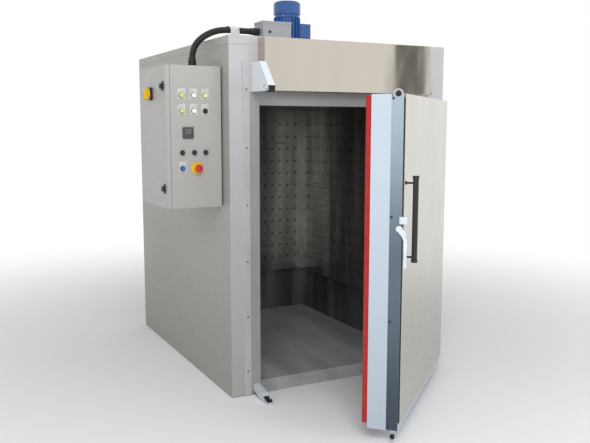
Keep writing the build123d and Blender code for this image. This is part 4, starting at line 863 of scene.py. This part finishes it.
@dataclass
class PerforatedSheet:
    """A flat sheet with round holes at an even pitch, and a plain border."""

    thickness: float = 0.0015
    hole: float = 0.015
    sides: int = 8

    def add(self, mesh: bmesh.types.BMesh, corner: Vector, along: Vector, up: Vector,
            counts: tuple[int, int], pitch: tuple[float, float], border: tuple[float, float]) -> None:
        """Add one perforated sheet to a bmesh.

        Args:
            mesh: the bmesh that takes it.
            corner: the sheet's lower corner.
            along: the unit vector along its rows.
            up: the unit vector along its columns.
            counts: the holes in a row and in a column.
            pitch: the hole pitch along a row and along a column.
            border: the plain width before the first hole's cell, along and up.
        """
        radius = self.hole / 2
        for column in range(counts[0]):
            for row in range(counts[1]):
                centre = corner + along * (border[0] + (column + 0.5) * pitch[0])
                centre = centre + up * (border[1] + (row + 0.5) * pitch[1])
                outer = []
                inner = []
                for side in range(self.sides):
                    turn = 2 * math.pi * side / self.sides
                    across, rise = math.cos(turn), math.sin(turn)
                    reach = 1 / max(abs(across), abs(rise))
                    outer.append(mesh.verts.new(centre + along * (across * reach * pitch[0] / 2)
                                                + up * (rise * reach * pitch[1] / 2)))
                    inner.append(mesh.verts.new(centre + along * (across * radius) + up * (rise * radius)))
                for side in range(self.sides):
                    after = (side + 1) % self.sides
                    mesh.faces.new((outer[side], outer[after], inner[after], inner[side]))
        width = 2 * border[0] + counts[0] * pitch[0]
        height = 2 * border[1] + counts[1] * pitch[1]
        for start, end in (((0, 0), (width, border[1])), ((0, height - border[1]), (width, height)),
                           ((0, border[1]), (border[0], height - border[1])),
                           ((width - border[0], border[1]), (width, height - border[1]))):
            self.strip(mesh, corner + along * start[0] + up * start[1], along * (end[0] - start[0]),
                       up * (end[1] - start[1]))

    @staticmethod
    def strip(mesh: bmesh.types.BMesh, corner: Vector, along: Vector, up: Vector) -> None:
        """Add one plain rectangle."""
        spots = (corner, corner + along, corner + along + up, corner + up)
        mesh.faces.new([mesh.verts.new(spot) for spot in spots])

    def close(self, name: str, mesh: bmesh.types.BMesh, finish: Finish, body: str,
              *replaced: str) -> bpy.types.Object:
        """Weld the sheets, give them their thickness and put the piece in the place of its nodes.

        Args:
            name: the piece's name.
            mesh: the bmesh with the sheets.
            finish: their finish.
            body: the body that they ride on.
            replaced: the CAD nodes that they stand for.

        Returns:
            The piece.
        """
        bmesh.ops.remove_doubles(mesh, verts=mesh.verts, dist=0.0001)
        piece = new_piece(name, mesh, finish)
        solid = piece.modifiers.new("thickness", "SOLIDIFY")
        solid.thickness = self.thickness
        solid.offset = 0.0
        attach(piece, body)
        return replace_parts(piece, *replaced)


@dataclass
class Chamber:
    """What is seen through the door opening: liner, duct walls, baffle and heating."""

    nodes: dict[str, bpy.types.Object]
    pitch_along: float = 0.071
    pitch_up: float = 0.100

    def build(self) -> list[bpy.types.Object]:
        """Dress the chamber and hang the perforated walls."""
        for node in ("chamber_liner", "ceiling_baffle"):
            dress(self.nodes[node], LINER_STEEL)
        dress(self.nodes["heating_elements"], ELEMENT_STEEL)
        dress(self.nodes["impeller"], BRIGHT_STEEL)
        return [self.rear_wall(), self.side_walls()]

    def grid(self, width: float, height: float) -> tuple[tuple[int, int], tuple[float, float]]:
        """Fit the holes to a wall.

        Args:
            width: the wall's width.
            height: its height.

        Returns:
            The counts and the borders, along and up.
        """
        counts = (int((width - 0.04) // self.pitch_along), int((height - 0.04) // self.pitch_up))
        border = ((width - counts[0] * self.pitch_along) / 2, (height - counts[1] * self.pitch_up) / 2)
        return counts, border

    def rear_wall(self) -> bpy.types.Object:
        """The rear duct wall, a tray open at the top."""
        low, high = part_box("rear_duct_wall")
        maker = PerforatedSheet()
        half = maker.thickness / 2
        mesh = bmesh.new()
        across, up, back = Vector((1, 0, 0)), Vector((0, 0, 1)), Vector((0, 1, 0))
        corner = Vector((low.x + half, low.y + half, low.z + half))
        width = high.x - low.x - 2 * half
        height = high.z - low.z - half
        depth = high.y - low.y - half
        counts, border = self.grid(width, height)
        maker.add(mesh, corner, across, up, counts, (self.pitch_along, self.pitch_up), border)
        maker.strip(mesh, corner, back * depth, up * height)
        maker.strip(mesh, corner + across * width, back * depth, up * height)
        maker.strip(mesh, corner, across * width, back * depth)
        return maker.close("rear_perforated_wall", mesh, CHAMBER_STEEL, ROOT, "rear_duct_wall")

    def side_walls(self) -> bpy.types.Object:
        """Both side duct walls, trays open at the top."""
        low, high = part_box("side_duct_walls")
        rear_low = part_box("rear_duct_wall")[0]
        maker = PerforatedSheet()
        half = maker.thickness / 2
        mesh = bmesh.new()
        run, up = Vector((0, 1, 0)), Vector((0, 0, 1))
        for side in (-1, 1):
            inner = Vector((side * (abs(rear_low.x) + half), low.y + half, low.z + half))
            length = high.y - low.y - 2 * half
            height = high.z - low.z - half
            out = Vector((side * (high.x - abs(rear_low.x) - half), 0, 0))
            counts, border = self.grid(length, height)
            maker.add(mesh, inner, run, up, counts, (self.pitch_along, self.pitch_up), border)
            maker.strip(mesh, inner, out, up * height)
            maker.strip(mesh, inner + run * length, out, up * height)
            maker.strip(mesh, inner, out, run * length)
        return maker.close("side_perforated_walls", mesh, CHAMBER_STEEL, ROOT, "side_duct_walls")


@dataclass
class FanDrive:
    """The motor on the roof, with its stand, cowl and screws."""

    nodes: dict[str, bpy.types.Object]
    axis: tuple[float, float] = (0.0, -0.141)

    def build(self) -> list[bpy.types.Object]:
        """Dress the drive and add its screws."""
        dress(self.nodes["motor_stand"], STAND_DARK)
        dress(self.nodes["motor_housing"], MOTOR_BLUE)
        dress(self.nodes["fan_cowl"], MOTOR_BLUE)
        dress(self.nodes["motor_shaft"], BRIGHT_STEEL)
        cowl_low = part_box("fan_cowl")[0].z
        dress_part(self.nodes["motor_shaft"], BLACK_PLASTIC, lambda spot, way: spot.z > cowl_low + 0.02)
        return [self.cowl_screws(), self.box_screws()]

    def cowl_screws(self) -> bpy.types.Object:
        """Four screws round the foot of the cowl."""
        low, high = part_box("fan_cowl")
        radius = 0.086
        spots = []
        for quarter in range(4):
            turn = math.radians(45 + 90 * quarter)
            way = (math.cos(turn), math.sin(turn), 0)
            spots.append(((self.axis[0] + way[0] * radius, self.axis[1] + way[1] * radius, low.z + 0.008), way))
        return ScrewHeads(0.004, 0.0025).build("cowl_screws", spots, ROOT, BRIGHT_STEEL)

    def box_screws(self) -> bpy.types.Object:
        """Four screws in the lid of the motor's terminal box."""
        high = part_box("motor_housing")[1]
        spots = []
        for across in (-0.036, 0.036):
            for rise in (0.060, 0.132):
                spots.append(((high.x, self.axis[1] + across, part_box("motor_housing")[0].z + rise), (1, 0, 0)))
        return ScrewHeads(0.004, 0.0025).build("terminal_box_screws", spots, ROOT, BRIGHT_STEEL)


@dataclass
class CableRun:
    """The junction box, the ribbed conduit, its glands and its clip."""

    nodes: dict[str, bpy.types.Object]
    route: tuple[tuple[float, float, float], ...] = (
        (-0.852, -0.595, 1.974),
        (-0.852, -0.595, 2.044),
        (-0.762, -0.532, 2.128),
        (-0.614, -0.429, 2.188),
        (-0.400, -0.280, 2.207),
        (-0.320, -0.280, 2.207),
    )
    radius: float = 0.0195
    groove: float = 0.0034
    rib_pitch: float = 0.0085
    sides: int = 20

    def build(self) -> list[bpy.types.Object]:
        """Dress the run and draw the ribbed conduit."""
        dress(self.nodes["junction_box"], BOX_GREY)
        dress(self.nodes["conduit_glands"], BLACK_PLASTIC)
        dress(self.nodes["conduit_clip"], CLIP_WHITE)
        return [self.conduit(), self.lid_screws()]

    def path(self) -> list[Vector]:
        """The points of the conduit's smooth line."""
        curve = bpy.data.curves.new("conduit_line", "CURVE")
        curve.dimensions = "3D"
        curve.resolution_u = 24
        spline = curve.splines.new("NURBS")
        spline.points.add(len(self.route) - 1)
        for point, spot in zip(spline.points, self.route):
            point.co = (*spot, 1)
        spline.order_u = 3
        spline.use_endpoint_u = True
        line = bpy.data.objects.new("conduit_line", curve)
        bpy.context.scene.collection.objects.link(line)
        bpy.context.view_layer.update()
        data = bpy.data.meshes.new_from_object(line)
        points = [vertex.co.copy() for vertex in data.vertices]
        bpy.data.objects.remove(line)
        bpy.data.curves.remove(curve)
        bpy.data.meshes.remove(data)
        return points

    def conduit(self) -> bpy.types.Object:
        """A tube with rounded ribs along the smooth line."""
        points = self.path()
        reached = [0.0]
        for before, after in zip(points, points[1:]):
            reached.append(reached[-1] + (after - before).length)
        steps = 4
        count = int(reached[-1] / self.rib_pitch * steps)
        mesh = bmesh.new()
        rings = []
        index = 0
        up = Vector((0, 0, 1))
        side_way = Vector((1, 0, 0))
        for step in range(count + 1):
            distance = reached[-1] * step / count
            while index < len(points) - 2 and reached[index + 1] < distance:
                index += 1
            share = (distance - reached[index]) / max(1e-9, reached[index + 1] - reached[index])
            centre = points[index].lerp(points[index + 1], share)
            along = (points[index + 1] - points[index]).normalized()
            side_way = (side_way - along * side_way.dot(along)).normalized()
            third = along.cross(side_way)
            radius = self.radius - self.groove * (0.5 + 0.5 * math.cos(2 * math.pi * step / steps))
            ring = []
            for side in range(self.sides):
                turn = 2 * math.pi * side / self.sides
                ring.append(mesh.verts.new(centre + (side_way * math.cos(turn) + third * math.sin(turn)) * radius))
            rings.append(ring)
        for low, high in zip(rings, rings[1:]):
            for side in range(self.sides):
                after = (side + 1) % self.sides
                mesh.faces.new((low[side], low[after], high[after], high[side]))
        mesh.faces.new(rings[0])
        mesh.faces.new(rings[-1])
        piece = new_piece("ribbed_conduit", mesh, CONDUIT_BLACK, smooth=80)
        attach(piece, ROOT)
        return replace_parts(piece, "conduit")

    def lid_screws(self) -> bpy.types.Object:
        """Four screws in the lid of the junction box."""
        low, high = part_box("junction_box")
        spots = []
        for x in (low.x + 0.014, high.x - 0.014):
            for y in (low.y + 0.014, high.y - 0.014):
                spots.append(((x, y, high.z), (0, 0, 1)))
        return ScrewHeads(0.0045, 0.0025, 10).build("lid_screws", spots, ROOT, BRIGHT_STEEL)


@dataclass
class ControlCabinet:
    """The cabinet on the side wall, its door, its controls and what is inside."""

    nodes: dict[str, bpy.types.Object]
    columns: tuple[float, float, float] = (-0.995, -0.924, -0.856)
    lens_face: float = -0.8146
    upper_row: float = 1.723

    def build(self) -> list[bpy.types.Object]:
        """Dress the cabinet and add its small parts."""
        plain: dict[str, Finish] = {
            "cabinet_box": CABINET_GREY,
            "cabinet_door": CABINET_GREY,
            "cabinet_hinges": DULL_STEEL,
            "door_fittings": BLACK_PLASTIC,
            "cabinet_lock_upper": LOCK_DARK,
            "cabinet_lock_lower": LOCK_DARK,
            "main_switch_collar": YELLOW,
            "main_switch_handle": YELLOW,
            "control_plates": PLATE_PALE,
            "temperature_controller": CONTROLLER_GREY,
            "selector_upper": GLOSS_BLACK,
            "selector_left": GLOSS_BLACK,
            "selector_middle": GLOSS_BLACK,
            "selector_right": GLOSS_BLACK,
            "blue_button": BLUE,
            "estop_disc": YELLOW,
            "estop_head": RED,
            "switchgear": DEVICE_GREY,
            "mounting_plate": ZINC,
        }
        for node, finish in plain.items():
            dress(self.nodes[node], finish)
        self.lamps()
        plate_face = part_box("control_plates")[0].y
        dress_part(self.nodes["control_plates"], BEZEL_GREY, lambda spot, way: spot.y < self.lens_face + 0.0028)
        dress_part(self.nodes["switchgear"], DEVICE_PALE, lambda spot, way: spot.z > 1.66 or spot.z < 1.40)
        LOG.info("control plates reach y %.4f", plate_face)
        return [self.display(), self.pointers()]

    def lamps(self) -> None:
        """Give each lamp's lens its own colour and the bezels a dark one."""
        lamps = self.nodes["pilot_lamps"]
        dress(lamps, BEZEL_GREY)
        lens = {0: LENS_YELLOW, 1: LENS_WHITE, 2: LENS_PALE}
        for index, finish in lens.items():
            column = self.columns[index]
            dress_part(lamps, finish, lambda spot, way, x=column: spot.y < self.lens_face and abs(spot.x - x) < 0.02)

    def display(self) -> bpy.types.Object:
        """Bars of light on the controller's display, in two rows of plain segments."""
        low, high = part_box("temperature_controller")
        middle = (low.x + high.x) / 2
        face = low.y + 0.0012 + 0.0019
        mesh = bmesh.new()
        for row, height in enumerate((1.5735, 1.5585)):
            for digit in range(3):
                centre = middle + (digit - 1) * 0.012
                self.zero(mesh, Vector((centre, face, height)), 0.0075, 0.0095)
        piece = new_piece("display_segments", mesh, Plastic("segment_pale", Tint(168, 176, 158), roughness=0.3))
        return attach(piece, ROOT)

    @staticmethod
    def zero(mesh: bmesh.types.BMesh, centre: Vector, width: float, height: float) -> None:
        """Add the six lit bars of a plain nought.

        Args:
            mesh: the bmesh that takes them.
            centre: the middle of the digit.
            width: its width.
            height: its height.
        """
        bar = 0.0012
        rise = height / 4
        bars = [(0, height / 2, width / 2 - bar, bar / 2), (0, -height / 2, width / 2 - bar, bar / 2)]
        for side in (-1, 1):
            for level in (-rise, rise):
                bars.append((side * width / 2, level, bar / 2, rise - bar * 0.6))
        for x, z, half_x, half_z in bars:
            place = Matrix.Translation(centre + Vector((x, -0.0004, z)))
            size = Matrix.Diagonal((2 * half_x, 0.0008, 2 * half_z, 1))
            bmesh.ops.create_cube(mesh, size=1, matrix=place @ size)

    def pointers(self) -> bpy.types.Object:
        """A black pointer on the main switch's handle."""
        low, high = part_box("main_switch_handle")
        middle_y = (low.y + high.y) / 2
        middle_z = (low.z + high.z) / 2
        mesh = bmesh.new()
        size = Matrix.Diagonal((0.0012, 0.006, 0.040, 1))
        bmesh.ops.create_cube(mesh, size=1, matrix=Matrix.Translation((low.x + 0.0006, middle_y, middle_z)) @ size)
        bmesh.ops.bevel(mesh, geom=mesh.edges[:], offset=0.0004, segments=1, affect="EDGES")
        piece = new_piece("switch_pointer", mesh, GLOSS_BLACK)
        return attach(piece, "main_switch_handle")


@dataclass
class OvenDoor:
    """The insulated door with its gasket, lock and handle."""

    nodes: dict[str, bpy.types.Object]
    hinge: tuple[float, float] = (0.613, -1.071)
    stands_open: float = 42.0
    free_edge: float = -0.592
    outer_face: float = -1.111
    screw_heights: tuple[float, ...] = (1.730, 1.160, 0.639, 0.092)
    screw_depth: float = 0.108
    # Heights and depths of the dark strip that paints the slot's shadow.
    shadow_strip_heights: tuple[float, float] = (0.122, 1.736)
    shadow_strip_depths: tuple[float, float] = (0.1585, 0.1665)

    def build(self) -> list[bpy.types.Object]:
        """Dress the door and add its screws."""
        plain: dict[str, Finish] = {
            "door_casing": DOOR_WHITE,
            "door_inner_panel": INNER_STEEL,
            "door_insulation": WOOL,
            "door_gasket": GASKET_RED,
            "door_skin": SKIN_STEEL,
            "lock_channel_cover": CHANNEL_STEEL,
            "lock_case": LEVER_WHITE,
            "pull_handle": HANDLE_BLACK,
            "door_hinge_leaves": DULL_STEEL,
            "upper_rod": BRIGHT_STEEL,
            "lower_rod": BRIGHT_STEEL,
            "lock_lever": LEVER_WHITE,
        }
        for node, finish in plain.items():
            dress(self.nodes[node], finish)
        upper_low, upper_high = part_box("upper_rod")
        lower_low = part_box("lower_rod")[0]
        self.roller("upper_rod", upper_high.z - 0.025)
        self.roller("lower_rod", lower_low.z + 0.013)
        return [self.leaf_screws(), self.cover_screws(), self.slot_shadow_strip()]

    def swung(self, x: float, y: float, z: float) -> Vector:
        """A point of the shut door, carried to the angle at which it stands open.

        Args:
            x: its place across the door, with the door shut.
            y: its place front to back, with the door shut.
            z: its height.

        Returns:
            The point in the row frame at rest.
        """
        turn = Matrix.Rotation(math.radians(self.stands_open), 3, "Z")
        pivot = Vector((self.hinge[0], self.hinge[1], 0))
        return turn @ (Vector((x, y, z)) - pivot) + pivot

    def roller(self, node: str, height: float) -> None:
        """Dress a rod's nylon roller in black.

        Args:
            node: the rod's node.
            height: the roller's middle.
        """
        across = (self.swung(self.free_edge, 0, 0) - self.swung(0, 0, 0)).normalized()
        centre = self.swung(self.free_edge + 0.0075, self.outer_face + 0.040, height)

        def on_roller(spot: Vector, way: Vector) -> bool:
            """Tell the roller's faces from those of the fork by their distance from its axle."""
            offset = spot - centre
            beside = offset.dot(across)
            radial = (offset - across * beside).length
            return radial < 0.0136 and abs(beside) < 0.0047

        dress_part(self.nodes[node], NYLON_BLACK, on_roller)

    def cover_screws(self) -> bpy.types.Object:
        """Dark round-headed screws down the channel cover's inner edge."""
        way = self.swung(-1, 0, 0) - self.swung(0, 0, 0)
        cover = self.free_edge - 0.002
        back = self.outer_face + 0.170 - self.screw_depth
        spots = [(self.swung(cover, back, height), way) for height in self.screw_heights]
        return ScrewHeads(0.006, 0.002, 14).build("cover_screws", spots, "door", BLACK_PLASTIC)

    def slot_shadow_strip(self) -> bpy.types.Object:
        """A dark strip in the slot between the channel cover and the skin: a painted shadow where the slot is in
        shade.
        """
        mesh = bmesh.new()
        low, high = self.shadow_strip_heights
        near = self.outer_face + 0.170 - self.shadow_strip_depths[1]
        far = self.outer_face + 0.170 - self.shadow_strip_depths[0]
        left = self.free_edge - 0.0012
        corners = [self.swung(x, y, z) for z in (low, high)
                   for x, y in ((self.free_edge, far), (left, far - 0.001), (left, near + 0.001), (self.free_edge, near))]
        verts = [mesh.verts.new(corner) for corner in corners]
        for ring in ((0, 1, 2, 3), (7, 6, 5, 4), (0, 4, 5, 1), (1, 5, 6, 2), (2, 6, 7, 3), (3, 7, 4, 0)):
            mesh.faces.new([verts[index] for index in ring])
        piece = new_piece("slot_shadow_strip", mesh, NYLON_BLACK)
        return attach(piece, "door")

    def leaf_screws(self) -> bpy.types.Object:
        """Countersunk screws in the hinge leaves on the door's edge."""
        way = self.swung(1, 0, 0) - self.swung(0, 0, 0)
        spots = []
        for foot in (0.250, 0.900, 1.510):
            for rise in (0.008, 0.050, 0.096):
                spots.append((self.swung(0.598, self.outer_face + 0.105, foot + rise), way))
        return ScrewHeads(0.005, 0.0015, 12).build("leaf_screws", spots, "door", BRIGHT_STEEL)


def main() -> None:
    """Load the frame, then build and dress the oven's sub-assemblies in order."""
    logging.basicConfig(level=logging.INFO, format="%(name)s: %(message)s")
    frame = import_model()
    CameraStand().build()
    Studio().build()
    nodes = frame["nodes"]
    for assembly in (OvenShell(nodes), Chamber(nodes), FanDrive(nodes), CableRun(nodes), ControlCabinet(nodes),
                     OvenDoor(nodes)):
        for piece in assembly.build():
            LOG.info("%s: %s, %d faces", type(assembly).__name__, piece.name, len(piece.data.polygons))
    bpy.context.scene.view_settings.view_transform = "Standard"


if __name__ == "__main__":
    main()
